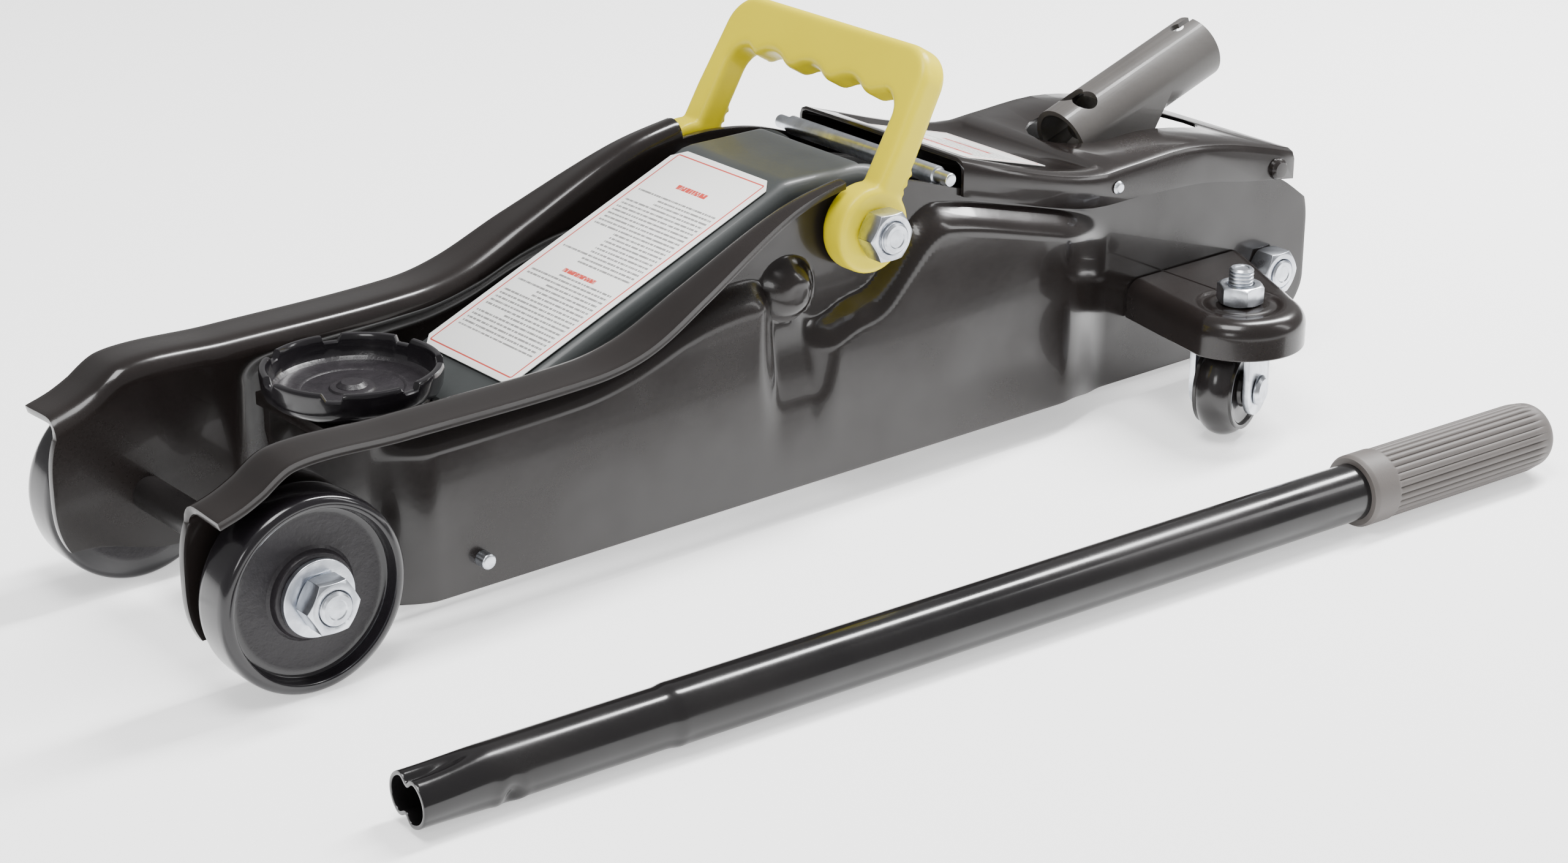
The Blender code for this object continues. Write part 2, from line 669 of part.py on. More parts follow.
def arm_sticker(arm):
    """A plain label with clipped corners on the arm's sloping face."""
    clip = 5 * MM
    length, half = STICKER_LENGTH, STICKER_HALF
    outline = [(clip, -half), (length - clip, -half), (length, clip - half),
               (length, half - clip), (length - clip, half), (clip, half), (0, half - clip),
               (0, clip - half)]
    place = (Matrix.Translation((STICKER_FRONT, 0, arm_top(STICKER_FRONT)))
             @ Matrix.Rotation(-ARM_SLOPE, 4, "Y")
             @ Matrix.Translation((0, 0, CLEAR + STICKER_T / 2)))
    add("arm_sticker", flat("arm_sticker", [outline], STICKER_T, place), "sticker", arm)


SADDLE_ARM = math.atan2(PIVOT_Z - SADDLE_PIN_Z, PIVOT_X - SADDLE_PIN_X)
OFFSET_ANGLE = math.pi + SADDLE_ARM - LIFT_RANGE / 2 + math.pi / 2
LINK_DX = LINK_OFFSET * math.cos(OFFSET_ANGLE)
LINK_DZ = LINK_OFFSET * math.sin(OFFSET_ANGLE)


def saddle_gear(arm):
    tilt = joint("saddle_bracket_hinge", SADDLE_PIN_X, 0, SADDLE_PIN_Z, arm)
    pin_x, pin_z = SADDLE_PIN_X + LINK_DX, SADDLE_PIN_Z + LINK_DZ
    eye = 9 * MM
    cheek = (arc(SADDLE_PIN_X, SADDLE_PIN_Z, eye, 20, -60, 4)
             + arc(pin_x, pin_z, 7 * MM, -60, -180, 5)
             + [(SADDLE_X - 20 * MM, BRACKET_TOP - 16 * MM), (SADDLE_X - 20 * MM, BRACKET_TOP),
                (SADDLE_X + 20 * MM, BRACKET_TOP), (SADDLE_X + 20 * MM, BRACKET_TOP - 10 * MM)])
    holes = [circle(SADDLE_PIN_X, SADDLE_PIN_Z, SADDLE_PIN_R + RUN, 18),
             circle(pin_x, pin_z, LINK_PIN_R + CLEAR, 16)]
    middle = BRACKET_HALF - BRACKET_T / 2
    bracket = add("saddle_bracket", flat("cheek", [cheek] + holes, BRACKET_T, upright(-middle)),
                  "black_paint", tilt)
    boolean(bracket, flat("cheek", [cheek] + holes, BRACKET_T, upright(middle)), "UNION")
    lip = 3 * MM
    boolean(bracket, box("top", (SADDLE_X - 20 * MM - lip, 0.2 * MM - BRACKET_HALF,
                                 BRACKET_TOP - 5 * MM),
                         (SADDLE_X + 20 * MM - 0.2 * MM, BRACKET_HALF - 0.2 * MM,
                          BRACKET_TOP - 0.1 * MM)), "UNION")
    boolean(bracket, rod("screw_hole", SCREW_R + CLEAR, (SADDLE_X, 0, BRACKET_TOP - 12 * MM),
                         (SADDLE_X, 0, BRACKET_TOP + 5 * MM), 16))
    link_y = ARM_HALF + 2 * MM + LINK_T
    add("link_pin", rod("link_pin", LINK_PIN_R, (pin_x, -link_y - 1.5 * MM, pin_z),
                        (pin_x, link_y + 1.5 * MM, pin_z), 16), "steel", tilt)

    swivel = joint("saddle_swivel", SADDLE_X, 0, BRACKET_TOP, tilt)
    base = BRACKET_TOP + RUN
    profile = [(SCREW_R + CLEAR, SADDLE_FLOOR + 0.8 * MM), (8 * MM, SADDLE_FLOOR + 0.8 * MM),
               (9 * MM, SADDLE_FLOOR),
               (SADDLE_R - SADDLE_WALL - 3 * MM, SADDLE_FLOOR),
               (SADDLE_R - SADDLE_WALL - 0.8 * MM, SADDLE_FLOOR + 1.6 * MM),
               (SADDLE_R - SADDLE_WALL, SADDLE_TOP - 0.5 * MM),
               (SADDLE_R - SADDLE_WALL + 0.6 * MM, SADDLE_TOP), (SADDLE_R - 0.6 * MM, SADDLE_TOP),
               (SADDLE_R, SADDLE_TOP - 0.8 * MM), (SADDLE_R - 0.6 * MM, base + 5 * MM),
               (SADDLE_R - 4 * MM, base + 1.2 * MM),
               (SADDLE_R - 7 * MM, base), (SCREW_R + CLEAR, base)]
    saddle = add("saddle", turned("saddle", profile, (SADDLE_X, 0, 0), (0, 0, 1), 48, True),
                 "black_paint", swivel)
    notches = 7
    for i in range(notches):
        turn = (i + 0.4) * 2 * math.pi / notches
        away = Vector((math.cos(turn), math.sin(turn), 0))
        start = Vector((SADDLE_X, 0, SADDLE_TOP + 0.6 * MM))
        boolean(saddle, rod("notch", 3.4 * MM, start + away * (SADDLE_R - 8 * MM),
                            start + away * (SADDLE_R + 4 * MM), 12))
    head = [(0, SADDLE_FLOOR + 2.6 * MM), (4 * MM, SADDLE_FLOOR + 2.6 * MM),
            (6 * MM, SADDLE_FLOOR + 1.1 * MM), (SCREW_R, SADDLE_FLOOR + 1.1 * MM),
            (SCREW_R, BRACKET_TOP - 10 * MM), (0, BRACKET_TOP - 10 * MM)]
    add("saddle_screw", turned("saddle_screw", head, (SADDLE_X, 0, 0), (0, 0, 1), 18), "steel",
        tilt)
    radius_links()


SCREW_R = 3 * MM


def radius_links():
    """Two flat links that keep the saddle level. Their rear eyes turn on studs in the frame."""
    stud_x, stud_z = PIVOT_X + LINK_DX, PIVOT_Z + LINK_DZ
    pin_x, pin_z = SADDLE_PIN_X + LINK_DX, SADDLE_PIN_Z + LINK_DZ
    along = math.atan2(stud_z - pin_z, stud_x - pin_x) / DEG
    outline = (arc(stud_x, stud_z, LINK_HALF, along - 90, along + 90, 7)
               + arc(pin_x, pin_z, LINK_HALF, along + 90, along + 270, 7))
    loops = [outline, circle(stud_x, stud_z, LINK_PIN_R + RUN, 16),
             circle(pin_x, pin_z, LINK_PIN_R + 2 * RUN, 16)]
    y = ARM_HALF + 2 * MM + LINK_T / 2
    for name, side in (("left", -1), ("right", 1)):
        hinge = joint("link_hinge_" + name, stud_x, side * y, stud_z)
        add("radius_link_" + name, flat("link", loops, LINK_T, upright(side * y)), "steel", hinge)
        start = y - LINK_T / 2 - 1 * MM
        add("link_stud_" + name, rod("stud", LINK_PIN_R, (stud_x, side * start, stud_z),
                                     (stud_x, side * (FRAME_HALF - SHEET - CLEAR), stud_z), 16),
            "steel")


# Hydraulics -----------------------------------------------------------------------------------------
def hydraulics():
    unit = add("power_unit_body", box("unit", (UNIT_FRONT, -UNIT_HALF, UNIT_BOTTOM),
                                      (UNIT_REAR, UNIT_HALF, UNIT_TOP - 18 * MM)), "grey_steel")
    boolean(unit, box("upper", (UNIT_FRONT + 6 * MM, -22 * MM, UNIT_TOP - 19 * MM),
                      (UNIT_REAR - 8 * MM, 22 * MM, UNIT_TOP)), "UNION")
    for side in (-1, 1):
        boolean(unit, box("spring_post", (UNIT_FRONT - 0.2 * MM, side * SPRING_Y - 6 * MM,
                                          UNIT_TOP - 25 * MM),
                          (UNIT_FRONT + 5 * MM, side * SPRING_Y + 6 * MM, RAM_Z + 8 * MM)),
                "UNION")
    lug_half = SOCKET_R - SOCKET_WALL - 1 * MM
    lug = (arc(SOCKET_PIVOT_X, SOCKET_PIVOT_Z, 8 * MM, 0, 180, 8)
           + [(SOCKET_PIVOT_X - 8 * MM, UNIT_TOP - 1 * MM),
              (SOCKET_PIVOT_X + 8 * MM, UNIT_TOP - 1 * MM)])
    boolean(unit, flat("lug", [lug], 2 * lug_half, upright(0)), "UNION")
    boolean(unit, rod("pump_barrel", 8.5 * MM, (PLUNGER_X + 1 * MM, 0, UNIT_TOP - 2 * MM),
                      (PLUNGER_X + 1 * MM, 0, PUMP_TOP), 24), "UNION")
    for cut in (rod("pin_bore", SOCKET_PIN_R + CLEAR, (SOCKET_PIVOT_X, -30 * MM, SOCKET_PIVOT_Z),
                    (SOCKET_PIVOT_X, 30 * MM, SOCKET_PIVOT_Z), 18),
                rod("pump_bore", PLUNGER_R + RUN, (PLUNGER_X, 0, UNIT_TOP - 30 * MM),
                    (PLUNGER_X, 0, PUMP_TOP + 5 * MM), 20),
                rod("bolt_bore", THREAD_R + CLEAR, (REAR_BOLT_X, -60 * MM, REAR_BOLT_Z),
                    (REAR_BOLT_X, 60 * MM, REAR_BOLT_Z), 20),
                rod("valve_bore", VALVE_R + RUN, (*VALVE, UNIT_TOP - 50 * MM),
                    (*VALVE, UNIT_TOP + 5 * MM), 16)):
        boolean(unit, cut)
    seat = FRAME_HALF + CLEAR
    bolt = add("rear_mount_bolt", rod("rear_mount_bolt", THREAD_R,
                                      (REAR_BOLT_X, -seat - REAR_NUT_T - 1 * MM, REAR_BOLT_Z),
                                      (REAR_BOLT_X, seat + 1 * MM, REAR_BOLT_Z), 24), "zinc")
    boolean(bolt, flat("head", [hexagon(REAR_BOLT_X, REAR_BOLT_Z, THREAD_R)], REAR_NUT_T,
                       upright(seat + REAR_NUT_T / 2)), "UNION")
    nut("rear_mount_nut", (REAR_BOLT_X, REAR_BOLT_Z), THREAD_R, -seat, -seat - REAR_NUT_T)

    inner = RAM_R + RUN
    tube = [(RESERVOIR_R - 2 * MM, RESERVOIR_FRONT), (RESERVOIR_R, RESERVOIR_FRONT + 2 * MM),
            (RESERVOIR_R, RESERVOIR_REAR), (0, RESERVOIR_REAR), (0, RESERVOIR_REAR - 6 * MM),
            (inner, RESERVOIR_REAR - 6 * MM), (inner, RESERVOIR_FRONT)]
    profile = [(r, -h) for r, h in tube[3::-1]][::-1] + [(r, -h) for r, h in tube[4:]]
    ring = [(r, -x) for r, x in tube]
    add("ram_cylinder", turned("ram_cylinder", open_ring(ring), (0, 0, RAM_Z), (-1, 0, 0), 32),
        "grey_steel")
    ram_gear()
    pump_gear()


def open_ring(profile):
    """A profile that already runs from the axis to the axis, top to bottom."""
    start = next(i for i, (r, _) in enumerate(profile) if r == 0 and profile[i - 1][0] == 0)
    return profile[start:] + profile[:start]


REAR_NUT_T = 11 * MM
VALVE, VALVE_R = (415 * MM, 15 * MM), 3.5 * MM


def ram_gear():
    """The ram slides forwards as the arm lifts, and two springs pull it back."""
    ram = joint("ram_slide", KNEE_X, 0, RAM_Z)
    front = KNEE_X - 13 * MM
    rear = front + YOKE_LENGTH
    lowest = PIVOT_Z - KNEE_ARM
    play = 1.5 * MM
    outline = [(front, lowest - 14 * MM), (rear, lowest - 14 * MM), (rear, KNEE_Z + 12 * MM),
               (front, KNEE_Z + 12 * MM)]
    loops = [outline, slot(KNEE_X, lowest - play, KNEE_Z + play, KNEE_PIN_R + play)]
    yoke = add("ram_yoke", flat("yoke", loops, 2 * YOKE_HALF, upright(0)), "grey_steel", ram)
    boolean(yoke, box("spring_lug", (KNEE_X + KNEE_EYE + 2.5 * MM, -SPRING_Y - 3 * MM,
                                     SPRING_Z - 3.5 * MM),
                      (rear - 0.2 * MM, SPRING_Y + 3 * MM, SPRING_Z + 3.5 * MM)), "UNION")
    add("ram_rod", rod("ram_rod", RAM_R, (rear + CLEAR, 0, RAM_Z),
                       (RESERVOIR_REAR - 8 * MM, 0, RAM_Z), 24), "steel", ram)
    for name, side in (("left", -1), ("right", 1)):
        start = (rear + CLEAR, side * SPRING_Y, SPRING_Z)
        end = (UNIT_FRONT - 0.2 * MM - CLEAR, side * SPRING_Y, SPRING_Z)
        add("return_spring_" + name, coil("return_spring", start, end, SPRING_R, SPRING_WIRE, 11),
            "steel")


def pump_gear():
    """The plunger rises and falls with the handle socket; its spring sits round it."""
    plunger = joint("plunger_slide", PLUNGER_X, 0, PLUNGER_TOP)
    head = [(0, PLUNGER_TOP), (4 * MM, PLUNGER_TOP), (6.5 * MM, PLUNGER_TOP - 1 * MM),
            (6.5 * MM, PLUNGER_TOP - 3 * MM), (PLUNGER_R, PLUNGER_TOP - 3 * MM),
            (PLUNGER_R, UNIT_TOP - 24 * MM), (0, UNIT_TOP - 24 * MM)]
    add("pump_plunger", turned("pump_plunger", head, (PLUNGER_X, 0, 0), (0, 0, 1), 20), "steel",
        plunger)
    add("pump_spring", coil("pump_spring", (PLUNGER_X, 0, PUMP_TOP + CLEAR),
                            (PLUNGER_X, 0, PLUNGER_TOP - 3 * MM - CLEAR), 6.2 * MM, 0.8 * MM, 4),
        "steel")
    valve = joint("valve_turn", *VALVE, UNIT_TOP)
    x, y = VALVE
    spindle = [(0, UNIT_TOP + 4 * MM), (VALVE_R + 2 * MM, UNIT_TOP + 4 * MM),
               (VALVE_R + 2 * MM, UNIT_TOP + CLEAR), (VALVE_R, UNIT_TOP + CLEAR),
               (VALVE_R, UNIT_TOP - 42 * MM), (0, UNIT_TOP - 48 * MM)]
    key = add("release_valve", turned("release_valve", spindle, (x, y, 0), (0, 0, 1), 18), "steel",
              valve)
    boolean(key, box("screw_slot", (x - 8 * MM, y - 0.8 * MM, UNIT_TOP + 2 * MM),
                     (x + 8 * MM, y + 0.8 * MM, UNIT_TOP + 8 * MM)))


# Handle socket ----------------------------------------------------------------------------------------
def socket_place():
    """Stands local +Z along the socket's axis, from its lower end."""
    along = Vector((math.cos(SOCKET_TILT), 0, math.sin(SOCKET_TILT)))
    end = Vector((SOCKET_END_X, 0, SOCKET_END_Z))
    return facing(along, end - along * SOCKET_LENGTH), along, end - along * SOCKET_LENGTH


def handle_socket():
    hinge = joint("socket_hinge", SOCKET_PIVOT_X, 0, SOCKET_PIVOT_Z)
    matrix, along, low = socket_place()
    inner = SOCKET_R - SOCKET_WALL
    ring = [(SOCKET_R, SOCKET_LENGTH), (SOCKET_R, 0), (inner, 0), (inner, SOCKET_LENGTH)]
    socket = add("handle_socket", turned("socket", ring, low, along, 32, True), "grey_steel",
                 hinge)
    cheek_middle = SOCKET_R - SOCKET_WALL / 2
    start, end = low + along * 6 * MM, low + along * 56 * MM
    reach = 9 * MM
    cheek = ([(start.x, start.z), (end.x, end.z)]
             + arc(SOCKET_PIVOT_X + 3 * MM, SOCKET_PIVOT_Z, reach, -30, -180, 7)
             + [(start.x - 1 * MM, start.z - 8 * MM)])
    hole = circle(SOCKET_PIVOT_X, SOCKET_PIVOT_Z, SOCKET_PIN_R + CLEAR, 18)
    across = Vector((0, 1, 0))
    up = across.cross(along) * -1
    belly = box("belly", (-40 * MM, -inner, -1 * MM), (-4 * MM, inner, 48 * MM))
    belly.transform(Matrix.Translation(low) @ Matrix(
        (up, -across, along)).transposed().to_4x4())
    boolean(socket, belly)
    for side in (-1, 1):
        boolean(socket, flat("cheek", [cheek, hole], SOCKET_WALL, upright(side * cheek_middle)),
                "UNION")
    bar_r = 3 * MM
    bar = (PLUNGER_X + 0.5 * MM, PLUNGER_TOP + CLEAR + bar_r)
    boolean(socket, rod("drive_bar", bar_r, (bar[0], -cheek_middle, bar[1]),
                        (bar[0], cheek_middle, bar[1]), 14), "UNION")
    boolean(socket, rod("pin_bore", SOCKET_PIN_R + CLEAR, (SOCKET_PIVOT_X, -20 * MM,
                                                           SOCKET_PIVOT_Z),
                        (SOCKET_PIVOT_X, 20 * MM, SOCKET_PIVOT_Z), 18))
    mouth = low + along * SOCKET_LENGTH + up * SOCKET_R
    boolean(socket, rod("bayonet_entry", 2.2 * MM, mouth - along * 8 * MM - up * 4 * MM,
                        mouth - along * 8 * MM + up * 4 * MM, 12))
    throat = facing(along, mouth)
    slot_mesh = box("bayonet_slot", (-5 * MM, -1.6 * MM, -8 * MM), (5 * MM, 1.6 * MM, 3 * MM))
    slot_mesh.transform(throat)
    boolean(socket, slot_mesh)
    window = low + along * 14 * MM + up * SOCKET_R
    boolean(socket, rod("window", 6 * MM, window - up * 8 * MM, window + up * 6 * MM, 20))
    add("socket_pin", rod("socket_pin", SOCKET_PIN_R,
                          (SOCKET_PIVOT_X, -SOCKET_R - 3 * MM, SOCKET_PIVOT_Z),
                          (SOCKET_PIVOT_X, SOCKET_R + 3 * MM, SOCKET_PIVOT_Z), 18), "steel")
    seat = low + along * 20 * MM
    dog = joint("valve_dog_turn", *seat, hinge)
    core = [(0, 8 * MM), (inner - 2 * RUN, 8 * MM), (inner - 2 * RUN, 0), (4 * MM, 0),
            (4 * MM, -12 * MM), (0, -12 * MM)]
    drive = add("valve_drive_dog", turned("dog", core, seat, along, 20), "steel", dog)
    groove = box("dog_slot", (-15 * MM, -1.6 * MM, 4 * MM), (15 * MM, 1.6 * MM, 12 * MM))
    groove.transform(facing(along, seat))
    boolean(drive, groove)


# Top cover --------------------------------------------------------------------------------------------
def cover_section(x):
    """Half of the cover's outer skin across the jack, from the skirt's edge to the middle."""
    top = cover_line(x)
    outer = FRAME_HALF + RUN + COVER_T
    drop = RECESS_DEEP * ramp((x - RECESS_FRONT) / (4 * MM)) * ramp(
        (RECESS_REAR - x) / (4 * MM))
    corner = COVER_CORNER
    return [(outer, skirt_line(x)), (outer, (skirt_line(x) + top - corner) / 2),
            (outer, top - corner), (outer - corner * 0.3, top - corner * 0.3),
            (outer - corner, top), (RECESS_HALF + 3 * MM, top), (RECESS_HALF, top - drop),
            (RECESS_HALF / 2, top - drop), (0, top - drop)]


def top_cover():
    bm = bmesh.new()
    rows = []
    stops = ((309, 320, 2), (320, 324, 2), (324, 388, 8), (388, 392, 2), (392, 470, 9),
             (470, 500, 4))
    stations = [(a + (b - a) * i / n) * MM for a, b, n in stops for i in range(n)] + [COVER_REAR]
    for x in stations:
        half = cover_section(x)
        whole = [(-y, z) for y, z in half] + half[-2::-1]
        rows.append([bm.verts.new((x, y, z)) for y, z in whole])
    for a, b in zip(rows, rows[1:]):
        for j in range(len(a) - 1):
            bm.faces.new((a[j], b[j], b[j + 1], a[j + 1]))
    cover = add("top_cover", mesh_of(bm, "top_cover"), "black_paint")
    thick = cover.modifiers.new("sheet", "SOLIDIFY")
    thick.thickness = COVER_T
    thick.offset = -1
    thick.use_even_offset = True
    low, high, half = 405 * MM, 483 * MM, SOCKET_R + 7 * MM
    opening = (arc(low + half - 8 * MM, 0, half, 270, 90, 8)
               + arc(high - half, 0, half, 90, -90, 8))
    boolean(cover, prism(opening, 60 * MM, level(105 * MM)))
    for name, side in (("left", -1), ("right", 1)):
        outside = FRAME_HALF + RUN + COVER_T + CLEAR
        x, z = 394 * MM, 96.5 * MM
        add("cover_screw_" + name, turned(
            "cover_screw", [(0, 1.4 * MM), (2 * MM, 1.4 * MM), (3 * MM, 0), (0, 0)],
            (x, side * outside, z), (0, side, 0), 16), "zinc")
        x, z = 489 * MM, 86 * MM
        stud = [(0, 2.8 * MM), (3.4 * MM, 2.8 * MM), (4.6 * MM, 1.5 * MM), (4.6 * MM, -1.2 * MM),
                (0, -1.2 * MM)]
        boolean(cover, turned("cover_stud", stud, (x, side * outside, z), (0, side, 0), 20),
                "UNION")
    slope = math.atan2(cover_line(376 * MM) - cover_line(324 * MM), 52 * MM)
    outline = [(-24 * MM, -30 * MM), (24 * MM, -30 * MM), (24 * MM, 30 * MM), (-24 * MM, 30 * MM)]
    middle = 349 * MM
    lift = cover_line(middle) - RECESS_DEEP + 1.4 * MM
    place = Matrix.Translation((middle, 0, lift)) @ Matrix.Rotation(-slope, 4, "Y")
    add("cover_label", flat("cover_label", [outline], STICKER_T, place), "sticker")


# Casters ------------------------------------------------------------------------------------------------
def wing_outline(inset, side):
    """The caster wing in plan, made smaller all round by the inset. Its root may run past the
    plate, so that a cutter leaves the wing open there."""
    radius = WING_R - inset
    root = FRAME_HALF + CLEAR - (10 * MM if inset else 0)
    start, end = 403 * MM + inset, 473 * MM - inset * 1.6
    rim = arc(SWIVEL_X, SWIVEL_Y, radius, 22, 172, 14)
    loop = [(end, root)] + rim + [(start, root)]
    return [(x, side * y) for x, y in (loop if side > 0 else loop[::-1])]


def caster(name, side):
    wing = flat("wing", [wing_outline(0, side)], WING_TOP - WING_BOTTOM,
                level((WING_TOP + WING_BOTTOM) / 2))
    bm = bmesh.new()
    bm.from_mesh(wing)
    rim = [e for e in bm.edges if all(v.co.z > WING_TOP - CLEAR for v in e.verts)
           and len(e.link_faces) == 2 and e.calc_face_angle() > 1
           and any(abs(v.co.y) > FRAME_HALF + 1 * MM for v in e.verts)]
    bmesh.ops.bevel(bm, geom=rim, offset=5 * MM, segments=3, profile=0.5, affect="EDGES")
    bm.to_mesh(wing)
    bm.free()
    bracket = add("caster_bracket_" + name, wing, "black_paint")
    boolean(bracket, flat("hollow", [wing_outline(SHEET, side)], WING_TOP - WING_BOTTOM,
                          level((WING_TOP + WING_BOTTOM) / 2 - SHEET)))
    x, y = SWIVEL_X, side * SWIVEL_Y
    boolean(bracket, rod("bolt_hole", SWIVEL_R + CLEAR, (x, y, WING_TOP - 10 * MM),
                         (x, y, WING_TOP + 5 * MM), 18))

    swivel = joint("caster_swivel_" + name, x, y, FORK_TOP)
    bolt_end = WING_TOP + 9 * MM + 6 * MM
    bolt = [(0, bolt_end), (SWIVEL_R - 0.8 * MM, bolt_end), (SWIVEL_R, bolt_end - 0.8 * MM),
            (SWIVEL_R, FORK_TOP - FORK_T - CLEAR), (9 * MM, FORK_TOP - FORK_T - CLEAR),
            (9 * MM, FORK_TOP - FORK_T - 2 * MM), (0, FORK_TOP - FORK_T - 2 * MM)]
    add("swivel_bolt_" + name, turned("swivel_bolt", bolt, (x, y, 0), (0, 0, 1), 20), "zinc")
    loops = [circle(x, y, SWIVEL_R * 2 * 1.7 / math.sqrt(3), 6),
             circle(x, y, SWIVEL_R + CLEAR, 18)]
    add("swivel_nut_" + name, flat("swivel_nut", loops, 8 * MM,
                                   level(WING_TOP + CLEAR + 4 * MM)), "zinc")

    turn = Matrix.Translation((x, y, 0)) @ Matrix.Rotation(side * -CASTER_TURN, 4, "Z")
    gap = CASTER_WIDTH / 2 + 1.5 * MM
    top = FORK_TOP
    leg = (arc(0, CASTER_R, FORK_HALF, 180, 360, 10) + [(FORK_HALF, top - 0.2 * MM),
                                                         (-FORK_HALF, top - 0.2 * MM)])
    leg = [(px - CASTER_TRAIL, pz) for px, pz in leg]
    hole = circle(-CASTER_TRAIL, CASTER_R, RIVET_R + CLEAR, 18)
    legs = []
    for face in (-1, 1):
        mesh = flat("leg", [leg, hole], FORK_T, turn @ upright(face * (gap + FORK_T / 2)))
        legs.append(mesh)
    fork = add("caster_fork_" + name, legs[0], "zinc", swivel)
    boolean(fork, legs[1], "UNION")
    crown = flat("crown", [[(-FORK_HALF - CASTER_TRAIL + 0.1 * MM, 0.1 * MM - gap - FORK_T),
                            (13 * MM, 0.1 * MM - gap - FORK_T), (13 * MM, gap + FORK_T - 0.1 * MM),
                            (-FORK_HALF - CASTER_TRAIL + 0.1 * MM, gap + FORK_T - 0.1 * MM)]],
                 FORK_T, turn @ level(top - FORK_T / 2))
    boolean(fork, crown, "UNION")
    boolean(fork, rod("race", 12 * MM, (x, y, top - 1 * MM), (x, y, WING_TOP - SHEET - RUN), 24),
            "UNION")
    boolean(fork, rod("crown_hole", SWIVEL_R + RUN, (x, y, top - 10 * MM), (x, y, top + 5 * MM),
                      18))
    hub = turn @ Vector((-CASTER_TRAIL, 0, CASTER_R))
    axis = (turn.to_3x3() @ Vector((0, side, 0))).normalized()
    spin = joint("caster_spin_" + name, *hub, swivel)
    half = CASTER_WIDTH / 2
    wheel = [(RIVET_R + RUN, half), (7 * MM, half), (8 * MM, half - 2 * MM),
             (14.5 * MM, half - 2 * MM), (16 * MM, half - 0.6 * MM),
             (CASTER_R - 2.6 * MM, half - 0.6 * MM), (CASTER_R - 0.7 * MM, half - 3.4 * MM),
             (CASTER_R, 2 * MM)]
    wheel += [(r, -h) for r, h in wheel[::-1]]
    add("caster_wheel_" + name, turned("caster_wheel", wheel, hub, axis, 26, True), "black_paint",
        spin)
    head = gap + FORK_T + CLEAR
    rivet = [(0, head + 2.2 * MM), (4.8 * MM, head + 2.2 * MM), (6.3 * MM, head + 0.9 * MM),
             (6.3 * MM, head), (RIVET_R, head), (RIVET_R, -head), (6 * MM, -head),
             (6 * MM, -head - 1.4 * MM), (0, -head - 1.4 * MM)]
    add("caster_rivet_" + name, turned("caster_rivet", rivet, hub, axis, 20), "zinc", swivel)


# Carrying handle ------------------------------------------------------------------------------------------
def carry_handle():
    """A moulded bail: a grip with finger bumps on two legs, each ending in a round lug. Its plane
    leans back from the arm's pivot shaft."""
    hinge = joint("carry_handle_hinge", PIVOT_X, 0, PIVOT_Z)
    lug_middle = FRAME_HALF + LUG_GAP + LUG_T / 2
    corner = 13 * MM
    outer, inner, top = BAIL_OUTER, BAIL_INNER, BAIL_TOP
    grip_low = top - BAIL_GRIP
    foot = 8 * MM
    bumps = []
    count, width = 3, 2 * (inner - 12 * MM) / 3
    for i in range(count):
        left = inner - 12 * MM - i * width
        bumps += [(left - width * t / 6, grip_low - 3.5 * MM * math.sin(math.pi * t / 6))
                  for t in range(1, 6)]
    half_right = arc(outer - corner, top - corner, corner, 0, 90, 5)
    outline = ([(outer, foot)] + half_right + [(-x, y) for x, y in half_right[::-1]]
               + [(-outer, foot), (-inner, foot)]
               + [(-x, y) for x, y in arc(inner - 8 * MM, grip_low - 8 * MM, 8 * MM, 0, 90, 4)]
               + [(-x, y) for x, y in bumps]
               + arc(inner - 8 * MM, grip_low - 8 * MM, 8 * MM, 90, 0, 4) + [(inner, foot)])
    lean = (Matrix.Translation((PIVOT_X, 0, PIVOT_Z))
            @ Matrix.Rotation(BAIL_TILT, 4, "Y")
            @ Matrix.Rotation(math.pi / 2, 4, "Z") @ Matrix.Rotation(math.pi / 2, 4, "X"))
    bail = add("carry_handle", prism(outline, BAIL_DEPTH, lean), "yellow_plastic", hinge)
    for side in (-1, 1):
        boolean(bail, rod("lug", LUG_R, (PIVOT_X, side * (lug_middle - LUG_T / 2), PIVOT_Z),
                          (PIVOT_X, side * (lug_middle + LUG_T / 2), PIVOT_Z), 32), "UNION")
        boolean(bail, rod("bore", PIVOT_R + RUN, (PIVOT_X, side * (lug_middle - LUG_T), PIVOT_Z),
                          (PIVOT_X, side * (lug_middle + LUG_T), PIVOT_Z), 20))


